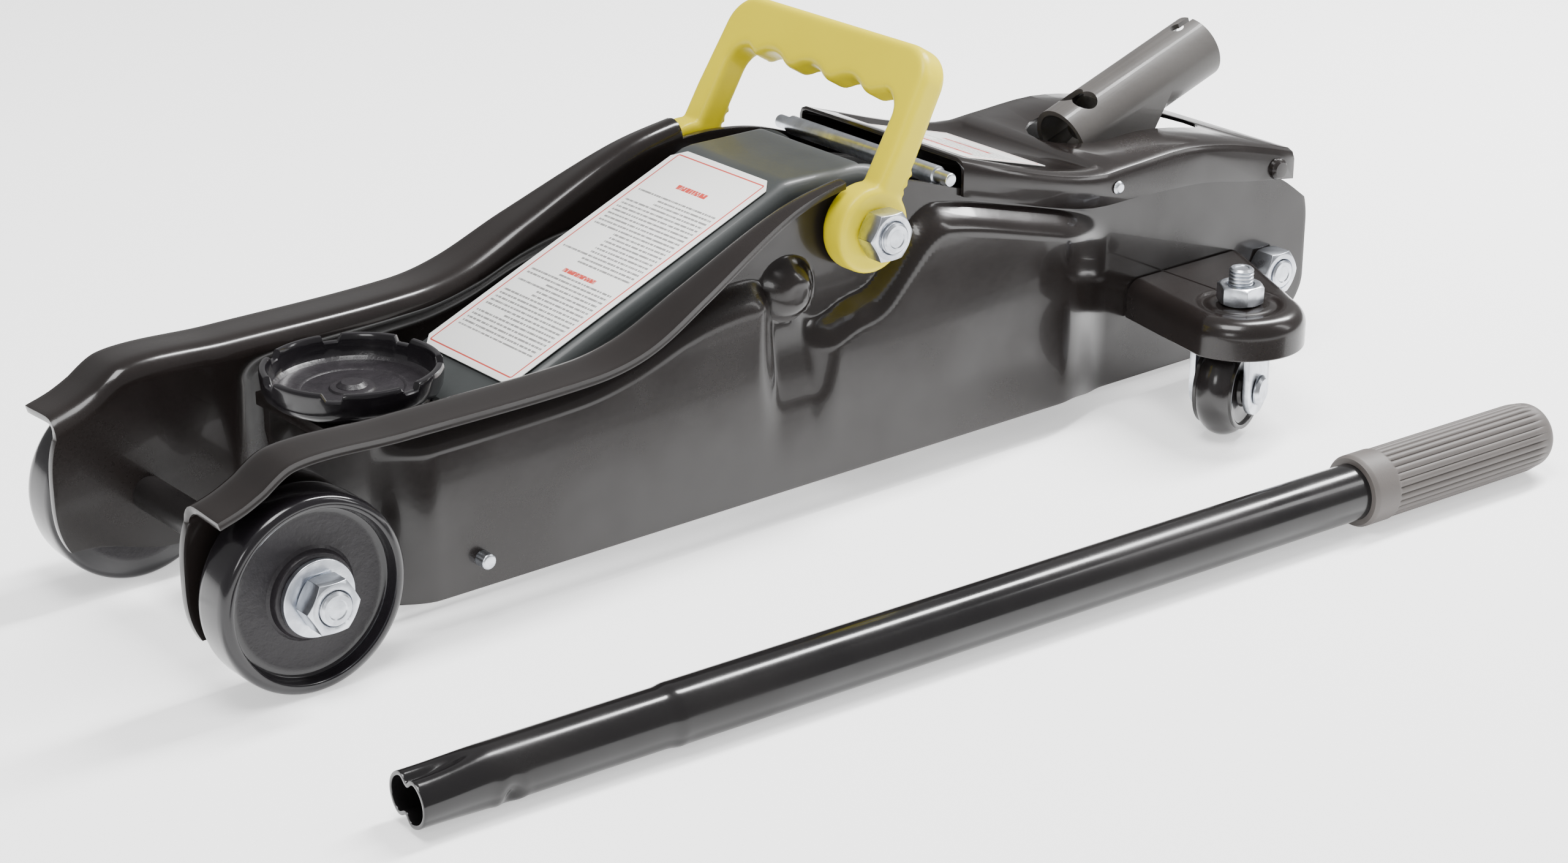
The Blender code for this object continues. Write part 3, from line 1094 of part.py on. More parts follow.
# Pump lever -------------------------------------------------------------------------------------------------
def pump_lever():
    """A hollow lever that lies on its collar and its tube, with a moulded grip."""
    length_flat = (LEVER_TO - LEVER_FROM).length
    full_round = MOUTH_LENGTH + MOUTH_TAPER
    rise = (COLLAR_R - TUBE_R) / (length_flat - GRIP_LENGTH - full_round)
    start = Vector((*LEVER_FROM, TUBE_R - rise * full_round + 0.1 * MM))
    end = Vector((*LEVER_TO, start.z + rise * length_flat))
    along = (end - start).normalized()
    length = (end - start).length
    lie = joint("lever_lift", *start)
    grip_start = length - GRIP_LENGTH
    tube_end = length - 12 * MM
    outer = [(MOUTH_R, 0), (MOUTH_R + 0.2 * MM, MOUTH_LENGTH * 0.5),
             (TUBE_R, full_round), (TUBE_R, tube_end)]
    inner = [(r - TUBE_WALL, h) for r, h in outer]
    profile = [(r, h) for r, h in outer[::-1]] + inner
    add("pump_lever_tube", turned("lever_tube", profile, start, along, 28, True), "black_paint",
        lie)
    bore = TUBE_R + CLEAR
    grip = [(0, length), (GRIP_R * 0.55, length - 0.8 * MM), (GRIP_R * 0.87, length - 3.6 * MM),
            (GRIP_R, length - 8.5 * MM), (GRIP_R, grip_start + 16 * MM),
            (COLLAR_R - 0.6 * MM, grip_start + 13 * MM), (COLLAR_R, grip_start + 11 * MM),
            (COLLAR_R, grip_start + 1 * MM), (COLLAR_R - 0.8 * MM, grip_start),
            (bore, grip_start), (bore, tube_end + CLEAR), (0, tube_end + CLEAR)]
    add("pump_lever_grip", turned("lever_grip", grip, start, along, 36), "rubber", lie)


frame()
front_wheels()
lifting_gear()
hydraulics()
handle_socket()
top_cover()
for wing_name, wing_side in (("left", -1), ("right", 1)):
    caster(wing_name, wing_side)
carry_handle()
pump_lever()
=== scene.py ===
# %% [markdown]
# A small hydraulic floor jack, with its pump lever on the floor beside it. The moving solids come
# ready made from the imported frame. This lesson gives each one its real surface: pressed sheet,
# turned cast iron, zinc plate, moulded plastic and rubber. Sizes are the jack's own, in metres.

# %% Start
import json
import math
import bpy
from mathutils import Matrix, Vector


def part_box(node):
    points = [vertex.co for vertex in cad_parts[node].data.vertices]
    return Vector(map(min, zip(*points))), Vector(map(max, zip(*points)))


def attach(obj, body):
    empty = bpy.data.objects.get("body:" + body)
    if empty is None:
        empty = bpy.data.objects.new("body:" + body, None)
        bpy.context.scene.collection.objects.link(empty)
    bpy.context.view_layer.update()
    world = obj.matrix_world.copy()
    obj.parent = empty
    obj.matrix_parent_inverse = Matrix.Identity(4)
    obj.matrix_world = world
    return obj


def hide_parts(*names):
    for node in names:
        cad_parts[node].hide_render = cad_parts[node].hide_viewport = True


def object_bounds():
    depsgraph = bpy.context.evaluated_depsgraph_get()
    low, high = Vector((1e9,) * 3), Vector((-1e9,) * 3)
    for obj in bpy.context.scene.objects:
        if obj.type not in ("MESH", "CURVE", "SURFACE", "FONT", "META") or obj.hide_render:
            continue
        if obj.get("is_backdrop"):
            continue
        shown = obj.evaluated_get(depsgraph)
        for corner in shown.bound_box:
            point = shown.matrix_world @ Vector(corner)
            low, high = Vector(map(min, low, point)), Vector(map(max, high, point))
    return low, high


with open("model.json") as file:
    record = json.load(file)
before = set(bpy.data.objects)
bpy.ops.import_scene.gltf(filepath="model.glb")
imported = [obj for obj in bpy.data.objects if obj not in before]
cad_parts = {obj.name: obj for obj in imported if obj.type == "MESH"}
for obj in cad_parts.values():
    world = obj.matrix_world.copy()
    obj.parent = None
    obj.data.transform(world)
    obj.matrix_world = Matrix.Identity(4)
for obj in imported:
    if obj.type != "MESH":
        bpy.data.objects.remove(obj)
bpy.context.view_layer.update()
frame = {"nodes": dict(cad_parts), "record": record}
nodes = frame["nodes"]
MM = 0.001
DEG = math.pi / 180

# %% [markdown]
# The jack is easiest to describe from its own front axle: x runs back from the axle, y is across
# from the middle plane, and z is up from the floor. The frame's own pieces say where that is.

# %% The jack's own corner
wheel_low, wheel_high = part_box("front_wheel_left")
plate_low, plate_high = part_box("side_plate_left")[0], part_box("side_plate_right")[1]
HOME = Vector(((wheel_low.x + wheel_high.x) / 2, (plate_low.y + plate_high.y) / 2, 0))
AXLE_Z = (wheel_low.z + wheel_high.z) / 2
print("front axle at", [round(v, 4) for v in HOME], "height", round(AXLE_Z, 4))


# %% [markdown]
# The camera stands low on the saddle's side of the jack, looking a little down, with a long lens.

# %% Camera
def look_from(place, yaw, pitch, roll, lens):
    """A camera at a place in the jack's own coordinates; yaw turns from +Y towards +X."""
    camera = bpy.data.objects.new("camera", bpy.data.cameras.new("camera"))
    bpy.context.scene.collection.objects.link(camera)
    ahead = Vector((math.sin(yaw) * math.cos(pitch), math.cos(yaw) * math.cos(pitch),
                    -math.sin(pitch)))
    right = Vector((math.cos(yaw), -math.sin(yaw), 0))
    up = right.cross(ahead)
    right, up = (right * math.cos(roll) + up * math.sin(roll),
                 up * math.cos(roll) - right * math.sin(roll))
    turn = Matrix((right, up, -ahead)).transposed().to_4x4()
    camera.matrix_world = Matrix.Translation(HOME + Vector(place)) @ turn
    camera.data.lens = lens
    camera.data.clip_start = 0.01
    return camera


bpy.context.scene.camera = look_from((-0.4964, -0.9242, 0.4889), 39.3 * DEG, 21.93 * DEG,
                                     0.11 * DEG, 73.39)
print("camera lens", bpy.context.scene.camera.data.lens)

# %% [markdown]
# Gloss black shows only what it mirrors, so the light is a set of large soft panels: one wide
# panel overhead draws the bright lines along every bend, and a pale room fills the rest.

# %% Light and floor
def soft_panel(name, place, aim, size, power):
    light = bpy.data.lights.new(name, "AREA")
    light.shape = "RECTANGLE"
    light.size, light.size_y = size
    light.energy = power
    lamp = bpy.data.objects.new(name, light)
    bpy.context.scene.collection.objects.link(lamp)
    lamp.location = HOME + Vector(place)
    lamp.rotation_euler = (Vector(aim) - Vector(place)).to_track_quat("-Z", "Y").to_euler()
    return lamp


soft_panel("rear_strip", (1.25, -0.02, 1.35), (0.25, 0, 0.05), (0.26, 1.2), 66)
soft_panel("top_panel", (-0.2, -0.3, 1.6), (0.22, 0, 0), (0.7, 0.7), 26)
soft_panel("left_panel", (-1.3, -1.0, 0.9), (0.2, 0, 0.05), (0.5, 0.5), 7)
soft_panel("right_panel", (1.6, -1.1, 1.0), (0.3, -0.05, 0.05), (0.25, 1.1), 7)

world = bpy.data.worlds.new("pale_room")
world.use_nodes = True
world.node_tree.nodes["Background"].inputs["Color"].default_value = (1, 1, 1, 1)
world.node_tree.nodes["Background"].inputs["Strength"].default_value = 0.4
bpy.context.scene.world = world

bpy.ops.mesh.primitive_plane_add(size=14, location=(0, 0, -0.0002))
floor = bpy.context.object
floor.name = "floor"
floor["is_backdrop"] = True


# %% [markdown]
# A finish is a small network of nodes. This class wraps one output, so that a pattern can be
# written as plain arithmetic, with one method for every other kind of node.

# %% Pattern arithmetic
class Wire:
    """One value in a finish, which can be added, multiplied and compared."""

    def __init__(self, socket, tree):
        self.socket, self.tree = socket, tree

    def node(self, kind, inputs, output=0, **settings):
        made = self.tree.nodes.new(kind)
        for key, value in settings.items():
            setattr(made, key, value)
        for key, value in inputs.items():
            if isinstance(value, Wire):
                self.tree.links.new(value.socket, made.inputs[key])
            else:
                made.inputs[key].default_value = value
        return Wire(made.outputs[output], self.tree)

    def sum(self, kind, *others):
        return self.node("ShaderNodeMath", dict(enumerate((self,) + others)), operation=kind)

    def __add__(self, other):
        return self.sum("ADD", other)

    def __sub__(self, other):
        return self.sum("SUBTRACT", other)

    def __mul__(self, other):
        return self.sum("MULTIPLY", other)

    def __truediv__(self, other):
        return self.sum("DIVIDE", other)

    def __rsub__(self, other):
        return self.node("ShaderNodeMath", {0: other, 1: self}, operation="SUBTRACT")

    def __pow__(self, other):
        return self.sum("POWER", other)

    __radd__, __rmul__ = __add__, __mul__

    def step(self, low, high):
        """0 below low, 1 above high, and smooth between."""
        return self.node("ShaderNodeMapRange", {"Value": self, "From Min": low, "From Max": high},
                         interpolation_type="SMOOTHSTEP")

    def parts(self):
        split = self.tree.nodes.new("ShaderNodeSeparateXYZ")
        self.tree.links.new(self.socket, split.inputs[0])
        return [Wire(out, self.tree) for out in split.outputs]

    def noise(self, scale, detail=2.0, roughness=0.5, distortion=0.0):
        return self.node("ShaderNodeTexNoise", {
            "Vector": self, "Scale": scale, "Detail": detail, "Roughness": roughness,
            "Distortion": distortion})

    def mix(self, low, high):
        """The colour that is low at 0 and high at 1."""
        return self.node("ShaderNodeMix", {"Factor": self, 6: low, 7: high}, output=2,
                         data_type="RGBA")


def colour(red, green, blue):
    return (red, green, blue, 1)


class Finish:
    """A material with its Principled shader, and the place on the piece to draw patterns by."""

    def __init__(self, name, **fixed):
        self.material = bpy.data.materials.new(name)
        self.material.use_nodes = True
        self.tree = self.material.node_tree
        self.shader = self.tree.nodes["Principled BSDF"]
        for key, value in fixed.items():
            self.shader.inputs[key.replace("_", " ").title()].default_value = value
        coordinates = self.tree.nodes.new("ShaderNodeTexCoord")
        self.place = Wire(coordinates.outputs["Object"], self.tree)
        self.flat = Wire(coordinates.outputs["UV"], self.tree)

    def set(self, name, wire):
        self.tree.links.new(wire.socket, self.shader.inputs[name])

    def bump(self, height, distance, strength=1.0):
        self.set("Normal", height.node("ShaderNodeBump", {
            "Height": height, "Distance": distance, "Strength": strength}))


print("finish tools ready")


# %% [markdown]
# The frame is sprayed gloss black. Real spray paint is never quite flat: it has a faint orange
# peel, the sheet under it waves a little, and dust dulls it in soft patches.

# %% Gloss black paint
def sprayed(name, dark, light, gloss, peel, wave):
    paint = Finish(name, coat_roughness=0.05)
    paint.shader.inputs["Specular IOR Level"].default_value = 0.32
    patches = paint.place.noise(18, 3).step(0.35, 0.7)
    specks = paint.place.noise(900, 1)
    paint.set("Base Color", (patches * 0.7 + specks * 0.3).mix(dark, light))
    paint.set("Roughness", patches * 0.1 + specks * 0.05 + gloss)
    paint.set("Coat Weight", 0.3 - patches * 0.2)
    height = paint.place.noise(260, 1) * peel + paint.place.noise(22, 1) * wave
    paint.bump(height, MM)
    return paint


black_paint = sprayed("gloss_black_paint", colour(0.0095, 0.0075, 0.007),
                      colour(0.0155, 0.0125, 0.0118), 0.16, 0.022, 0.4)
tube_paint = sprayed("tube_black_paint", colour(0.007, 0.0065, 0.007),
                     colour(0.012, 0.011, 0.011), 0.13, 0.012, 0.1)
arm_paint = sprayed("arm_grey_paint", colour(0.036, 0.04, 0.04), colour(0.052, 0.056, 0.056),
                    0.36, 0.03, 0.3)
arm_paint.set("Coat Weight", arm_paint.place.noise(30, 2) * 0.2)
print(black_paint.material.name, arm_paint.material.name)

# %% [markdown]
# The wheels and the saddle are cast, then painted. The turned rim is smooth, and the recessed
# face keeps the grain of the sand mould, so its bump is stronger inside the rim.

# %% Painted castings
def cast_paint(name, centre, axis_parts, smooth_from, grain):
    cast = Finish(name, coat_roughness=0.07)
    cast.shader.inputs["Specular IOR Level"].default_value = 0.3
    across = [part - offset for part, offset in zip(cast.place.parts(), centre)]
    first, second = [across[i] for i in axis_parts]
    radius = (first * first + second * second) ** 0.5
    inside = 1 - radius.step(smooth_from - 2 * MM, smooth_from)
    lumps = cast.place.noise(260, 3, 0.6)
    specks = cast.place.noise(1100, 2)
    cast.set("Base Color", (lumps * inside).mix(colour(0.008, 0.007, 0.0085),
                                                colour(0.02, 0.017, 0.02)))
    cast.set("Roughness", inside * 0.22 + lumps * 0.1 + 0.14)
    cast.set("Coat Weight", 0.4 - inside * 0.36)
    cast.bump((lumps * 0.5 + specks * 0.12) * (inside * grain + 0.05), MM)
    return cast


wheel_paint = cast_paint("cast_wheel_paint", (HOME.x, HOME.y, AXLE_Z), (0, 2), 29 * MM, 0.5)
saddle_low, saddle_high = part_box("saddle")
SADDLE_X = (saddle_low.x + saddle_high.x) / 2
saddle_paint = cast_paint("cast_saddle_paint", (SADDLE_X, HOME.y, 0), (0, 1), 30 * MM, 0.6)
print(wheel_paint.material.name, saddle_paint.material.name)


# %% [markdown]
# Nuts, pins and caster forks are zinc plated: bright and a little blue, with cloudy patches.
# Bare steel is darker and carries fine lines from the tool that cut it.

# %% Metals
def plated(name, bright, dull, low, high):
    metal = Finish(name, metallic=1.0)
    clouds = metal.place.noise(110, 4, 0.6, 0.4)
    fine = metal.place.noise(1500, 2)
    metal.set("Base Color", clouds.step(0.35, 0.68).mix(bright, dull))
    metal.set("Roughness", clouds * (high - low) + low)
    metal.bump(clouds * 0.06 + fine * 0.02, MM)
    return metal


def painted_shade_middle(metal, half):
    """Painted shade over the middle of a cross rod: near black where it lies in the shade between
    the wheels, with the plating left bare at its ends.
    """
    bare = (metal.place.parts()[1] - HOME.y).sum("ABSOLUTE").step(half - MM, half)
    metal.set("Metallic", bare)
    colours = metal.shader.inputs["Base Color"].links[0].from_socket
    # The near-black colour mixed in here is painted shade, not a real coat of paint.
    mixed = bare.node("ShaderNodeMix", {"Factor": bare, 6: colour(0.009, 0.008, 0.008),
                                        7: Wire(colours, metal.tree)}, output=2,
                      data_type="RGBA")
    metal.set("Base Color", mixed)
    return metal


zinc = plated("zinc_plate", colour(0.66, 0.69, 0.74), colour(0.44, 0.46, 0.50), 0.2, 0.42)
steel = plated("bare_steel", colour(0.42, 0.41, 0.4), colour(0.26, 0.25, 0.24), 0.28, 0.5)
socket_paint = sprayed("socket_grey_paint", colour(0.06, 0.055, 0.052),
                       colour(0.085, 0.08, 0.076), 0.34, 0.04, 0.2)
# The front axle's near-black middle is painted shade between the wheels; its zinc ends are its own
# colour.
axle_zinc = painted_shade_middle(plated("axle_zinc", colour(0.66, 0.69, 0.74),
                                  colour(0.44, 0.46, 0.50), 0.2, 0.42), 60 * MM)
print(zinc.material.name, steel.material.name)

# %% [markdown]
# The carry handle is moulded in satin yellow plastic. Plastic lets a little light in, and its
# mould was etched, so the shine breaks up into a very fine grain.

# %% Plastics and rubber
yellow = Finish("yellow_moulding")
yellow.shader.inputs["Specular IOR Level"].default_value = 0.3
tone = yellow.place.noise(35, 2)
yellow.set("Base Color", tone.mix(colour(0.66, 0.54, 0.0), colour(0.72, 0.60, 0.0)))
yellow.set("Roughness", yellow.place.noise(700, 2) * 0.12 + 0.3)
yellow.bump(yellow.place.noise(1600, 2) * 0.02 + tone * 0.15, MM)

grip_rubber = Finish("grip_rubber")
bloom = grip_rubber.place.noise(60, 3)
grip_rubber.set("Base Color", bloom.mix(colour(0.075, 0.066, 0.062), colour(0.105, 0.094, 0.088)))
grip_rubber.set("Roughness", bloom * 0.15 + 0.5)
grip_rubber.bump(grip_rubber.place.noise(1300, 3) * 0.05, MM)

wheel_plastic = Finish("caster_black_plastic")
scuffs = wheel_plastic.place.noise(150, 4, 0.7)
wheel_plastic.set("Base Color", scuffs.mix(colour(0.008, 0.007, 0.007),
                                           colour(0.016, 0.014, 0.014)))
wheel_plastic.set("Roughness", scuffs * 0.12 + 0.12)
wheel_plastic.bump(scuffs * 0.05, MM)
print(yellow.material.name, grip_rubber.material.name, wheel_plastic.material.name)

# %% [markdown]
# The floor is a matt studio sheet. It gets a very faint grain so that it is not a flat fill.

# %% Floor finish
paper = Finish("studio_sheet", roughness=0.9, emission_strength=0.75)
paper.shader.inputs["Emission Color"].default_value = (1, 1, 1, 1)
paper.set("Base Color", paper.place.noise(6, 2).mix(colour(0.93, 0.93, 0.93),
                                                   colour(0.95, 0.95, 0.95)))
floor.data.materials.append(paper.material)
print(floor.name, "painted")

# %% [markdown]
# Every piece of the frame gets its finish now. Those that need more shape are replaced later.

# %% Paint the frame
FINISH_OF = {"black_paint": black_paint, "grey_paint": arm_paint, "grey_steel": socket_paint,
             "zinc": zinc, "steel": steel, "cast_iron": wheel_paint, "yellow_plastic": yellow,
             "rubber": grip_rubber, "wheel_plastic": wheel_plastic, "sticker": steel}
slot_of = {part["node"]: part["material_slot"] for part in frame["record"]["subparts"]}
bpy.ops.object.select_all(action="DESELECT")
for name, node in nodes.items():
    node.data.materials.clear()
    node.data.materials.append(FINISH_OF[slot_of[name]].material)
print("painted", len(nodes))


# %% [markdown]
# A few moves repeat on every piece, so each is named once: lathe work from a half outline, sheet
# pressed from a flat grid, plate cut from an outline, and the last step that hands a piece over.

# %% Workshop moves
def take(obj):
    """Makes an object the only one selected."""
    bpy.ops.object.select_all(action="DESELECT")
    obj.select_set(True)
    bpy.context.view_layer.objects.active = obj
    return obj


def edit(obj, mode="FACE"):
    take(obj)
    bpy.ops.object.mode_set(mode="EDIT")
    bpy.ops.mesh.select_mode(type=mode)
    bpy.ops.mesh.select_all(action="SELECT")


def leave():
    bpy.ops.object.mode_set(mode="OBJECT")


def tidy(obj):
    """Merges doubled points and turns every face outwards."""
    edit(obj)
    bpy.ops.mesh.remove_doubles(threshold=0.000005)
    bpy.ops.mesh.normals_make_consistent(inside=False)
    leave()
    return obj


def from_points(name, points, edges, faces):
    mesh = bpy.data.meshes.new(name)
    mesh.from_pydata(points, edges, faces)
    obj = bpy.data.objects.new(name, mesh)
    bpy.context.scene.collection.objects.link(obj)
    return obj


def apply(obj, kind, **settings):
    """Adds a modifier and applies it at once."""
    take(obj)
    modifier = obj.modifiers.new(kind.lower(), kind)
    for key, value in settings.items():
        setattr(modifier, key, value)
    bpy.ops.object.modifier_apply(modifier=modifier.name)
    return obj


def facing(axis, centre):
    turn = Vector((0, 0, 1)).rotation_difference(Vector(axis).normalized())
    return Matrix.Translation(Vector(centre)) @ turn.to_matrix().to_4x4()


def lathe(name, outline, centre=(0, 0, 0), axis=(0, 0, 1), steps=96, ring=False):
    """Turns (radius, height) points round an axis. A ring's outline is closed on itself."""
    links = [(i, i + 1) for i in range(len(outline) - 1)]
    if ring:
        links.append((len(outline) - 1, 0))
    obj = from_points(name, [(r, 0, h) for r, h in outline], links, [])
    edit(obj, "EDGE")
    bpy.ops.mesh.spin(steps=steps, angle=2 * math.pi, center=(0, 0, 0), axis=(0, 0, 1))
    leave()
    tidy(obj)
    obj.data.transform(facing(axis, centre))
    return obj


def press(name, columns, rows, shape):
    """A flat grid pressed to shape(u, v), where u and v run from 0 to 1."""
    bpy.ops.mesh.primitive_grid_add(x_subdivisions=columns, y_subdivisions=rows, size=1)
    obj = bpy.context.object
    obj.name = name
    for point in obj.data.vertices:
        point.co = shape(min(max(point.co.x + 0.5, 0), 1), min(max(point.co.y + 0.5, 0), 1))
    return obj


def slab(name, outline, thickness, matrix):
    """An outline filled with one face and extruded, which Boolean accepts as a closed solid."""
    obj = from_points(name, [(x, y, -thickness / 2) for x, y in outline], [],
                      [list(range(len(outline)))])
    edit(obj)
    bpy.ops.mesh.extrude_region_move(TRANSFORM_OT_translate={"value": (0, 0, thickness)})
    leave()
    tidy(obj)
    obj.data.transform(matrix)
    return obj


def join_up(obj, *others, kind="UNION"):
    """Unites other pieces with this one, or cuts them from it."""
    for other in others:
        apply(obj, "BOOLEAN", operation=kind, object=other, solver="EXACT")
        bpy.data.objects.remove(other)
    return obj


def cut(obj, *others):
    return join_up(obj, *others, kind="DIFFERENCE")


def soften(obj, width, segments=3, angle=35):
    """Rounds every edge that is sharper than an angle."""
    return apply(obj, "BEVEL", width=width, segments=segments, limit_method="ANGLE",
                 angle_limit=angle * DEG, use_clamp_overlap=True, harden_normals=False)


def arc(x, y, radius, start, end, count):
    return [(x + radius * math.cos((start + (end - start) * i / count) * DEG),
             y + radius * math.sin((start + (end - start) * i / count) * DEG))
            for i in range(count + 1)]


def upright(y):
    return Matrix.Translation((0, y, 0)) @ Matrix.Rotation(math.pi / 2, 4, "X")


def level(z):
    return Matrix.Translation((0, 0, z))


def ramp(t):
    t = min(max(t, 0), 1)
    return t * t * (3 - 2 * t)


def hand_over(obj, finish, body, *replaced, slot="black_paint", angle=32):
    """Moves a finished piece from the jack's coordinates into the frame's, and paints it."""
    take(obj)
    bpy.ops.object.transform_apply(location=True, rotation=True, scale=True)
    obj.data.transform(Matrix.Translation(HOME))
    bpy.ops.object.shade_smooth_by_angle(angle=angle * DEG)
    obj.data.materials.clear()
    obj.data.materials.append(finish.material)
    for face in obj.data.polygons:
        face.material_index = 0
    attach(obj, body)
    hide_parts(*replaced)
    print(obj.name, len(obj.data.polygons), "faces")
    return obj


SIDES = (("left", -1), ("right", 1))


# %% [markdown]
# The side plates are the jack's frame. Each is one pressing: an upright web, a flange rolled out
# along the top, and a long panel pushed outwards to stiffen it. A grid whose points are moved by
# a few smooth rules gives the same soft shoulders that a press tool gives.

# %% Side plate outlines
def smooth_line(points):
    """A smooth height along x through a few places, given in millimetres."""
    xs, zs = [x * MM for x, _ in points], [z * MM for _, z in points]

    def height(x):
        x = min(max(x, xs[0]), xs[-1])
        i = max(k for k in range(len(xs) - 1) if xs[k] <= x)
        slopes = []
        for k in (i, i + 1):
            a, b = max(k - 1, 0), min(k + 1, len(xs) - 1)
            slopes.append((zs[b] - zs[a]) / (xs[b] - xs[a]))
        width = xs[i + 1] - xs[i]
        t = (x - xs[i]) / width
        return ((2 * t**3 - 3 * t**2 + 1) * zs[i] + (t**3 - 2 * t**2 + t) * width * slopes[0]
                + (3 * t**2 - 2 * t**3) * zs[i + 1] + (t**3 - t**2) * width * slopes[1])

    return height


plate_top = smooth_line((
    (-37, 72), (-28, 75), (-6, 85.5), (40, 85.5), (118, 86.5), (142, 91), (170, 103.5),
    (216, 123.5), (245, 130), (262, 130.5), (284, 127.5), (309, 119.5), (357, 105), (384, 99.8),
    (404, 100.5), (434, 101.7), (459, 98.5), (484, 92.5), (500, 86.5), (512, 76)))
shoulder = smooth_line((
    (38, 73), (120, 75.5), (145, 80), (168, 88), (187, 92), (206, 92), (222, 84), (234, 71),
    (250, 75), (264, 79), (276, 91), (286, 101), (296, 104), (340, 93.5), (388, 80)))
FRAME_HALF, SHEET, BULGE, BEND = 48 * MM, 3 * MM, 9 * MM, 7 * MM
PLATE_FRONT, PLATE_REAR, FLANGE_END = -37 * MM, 512 * MM, 244 * MM
print("plate height at its hump", round(plate_top(0.262), 4))


# %% Pressing rules
def pressed_out(x, z):
    """How far the web stands out at a place."""
    along = ramp((x - 36 * MM) / (22 * MM)) * ramp((392 * MM - x) / (34 * MM))
    up = ramp((shoulder(x) - z) / (11 * MM) + 0.5)
    off = abs(x - 221 * MM) / (12 * MM)
    deep = 0.2 + 0.6 * ramp((z - 44 * MM) / (34 * MM))
    trough = deep * ramp((1.6 - off) / 1.0) * ramp((z - 20 * MM) / (34 * MM))
    away = math.hypot(x - 221 * MM, z - 90 * MM) / (12 * MM)
    boss = 8 * MM * ramp((1.12 - away) * 1.3)
    return max(BULGE * along * up * (1 - trough), boss)


def lower_edge(x):
    front = ramp((12 * MM - x) / (45 * MM)) * 8 * MM
    rear = ramp((x - 364 * MM) / (20 * MM)) * 3 * MM
    return 13 * MM + front - rear


def flange_reach(x):
    return 20 * MM - 13 * MM * ramp((x - 135 * MM) / (FLANGE_END - 135 * MM))


def end_slide(x, z):
    if x < 0:
        return 7 * MM * min(abs(z - 45 * MM) / (27 * MM), 1) ** 3 * x / PLATE_FRONT
    near = max(x - 468 * MM, 0) / (PLATE_REAR - 468 * MM)
    low, high = max(34 * MM - z, 0) / (24 * MM), max(z - 58 * MM, 0) / (32 * MM)
    return -near * (20 * MM * low**2 + 15 * MM * high**2)


def web_point(x, v, start):
    z = start + (lower_edge(x) - start) * v
    return Vector((x + end_slide(x, z), FRAME_HALF - SHEET + pressed_out(x, z), z))


def flange_point(x, v):
    """The flange's upper skin, from its outer rim at 0 to the web at 1."""
    top, inner, reach = plate_top(x), FRAME_HALF - SHEET, flange_reach(x) + SHEET
    flat = reach - BEND
    run = v * (flat + BEND * math.pi / 2)
    if run < flat:
        droop = 0.6 * MM * ramp((flat - run) / flat)
        return Vector((x, inner + reach - run, top - droop))
    turn = (run - flat) / BEND
    return Vector((x, inner + BEND * (1 - math.sin(turn)), top - BEND * (1 - math.cos(turn))))


print("web stands out", round(pressed_out(0.12, 0.05), 4), "at its middle")


# %% Press the side plates
def plate_skin(side):
    """The flange and the web, pressed apart and then welded along their shared line."""
    def web(u, v):
        x = PLATE_FRONT + (PLATE_REAR - PLATE_FRONT) * u
        place = web_point(x, v, plate_top(x) - BEND)
        return Vector((place.x, side * place.y, place.z))

    columns = 300
    obj = press("side_plate", columns, 84, web)
    step = (PLATE_REAR - PLATE_FRONT) / columns
    count = round((FLANGE_END - PLATE_FRONT) / step)

    def flange(u, v):
        x = PLATE_FRONT + u * count * step
        place = flange_point(x, 1 - v)
        if x < 0:
            place.x += end_slide(x, plate_top(x) - BEND)
        return Vector((place.x, side * place.y, place.z))

    extra = press("flange", count, 12, flange)
    take(obj)
    extra.select_set(True)
    bpy.ops.object.join()
    tidy(obj)
    return obj


for name, side in SIDES:
    plate = plate_skin(side)
    middle = max(plate.data.polygons, key=lambda f: f.area * (f.center.z < 0.06))
    outwards = middle.normal.y * side > 0
    apply(plate, "SOLIDIFY", thickness=SHEET, offset=1 if outwards else -1,
          use_even_offset=True)
    soften(plate, 0.9 * MM, 3, 50)
    plate.name = "pressed_side_" + name
    hand_over(plate, black_paint, "frame", "side_plate_" + name, angle=45)


# %% [markdown]
# A front wheel is cast iron, turned at the rim. Its outline is drawn as half a section and spun.
# Small curves at each corner matter, because they are what catches the light.

# %% Front wheels
def wheel_outline():
    """(radius, height) from the bore, over the outer face and tread, and back."""
    face = 19 * MM
    rim = [(29.2, -5.0), (30.4, -4.6), (31.0, -3.4), (31.3, -0.9), (31.7, -0.25), (32.3, 0),
           (33.4, 0), (34.6, -0.5), (35.4, -1.4), (35.85, -2.8), (36, -4.6)]
    hub = [(6.8, -1.0), (14.6, -1.0), (15.3, -1.3), (15.7, -2.2), (16.1, -3.8), (17.2, -4.6)]
    tread = [(36, -14.4), (35.85, -16.2), (35.4, -17.6), (34.4, -18.6), (33.0, -19), (6.8, -19)]
    return [(r * MM, face + h * MM) for r, h in hub + rim + tread]


for name, side in SIDES:
    wheel = lathe("cast_front_wheel_" + name, wheel_outline(), (0, side * 51.5 * MM, AXLE_Z),
                  (0, side, 0), 128, ring=True)
    soften(wheel, 0.25 * MM, 2, 40)
    hand_over(wheel, wheel_paint, "front_wheel_" + name, "front_wheel_" + name,
              slot="cast_iron")

# %% [markdown]
# Many small pieces already have the right shape and only lack an eased edge. A copy of each is
# merged, its flat faces are joined again, and a narrow bevel gives every edge its own highlight.

# %% Copy and ease
body_of = {node: body for body, held in frame["record"]["behaviour"]["bodies"].items()
           for node in held}


def copy_of(name):
    """A merged copy of a frame piece, in the jack's coordinates."""
    obj = bpy.data.objects.new("copy_of_" + name, nodes[name].data.copy())
    bpy.context.scene.collection.objects.link(obj)
    obj.data.transform(Matrix.Translation(-HOME))
    edit(obj)
    bpy.ops.mesh.remove_doubles(threshold=0.000005)
    bpy.ops.mesh.select_all(action="SELECT")
    bpy.ops.mesh.dissolve_limited(angle_limit=0.5 * DEG)
    leave()
    return obj


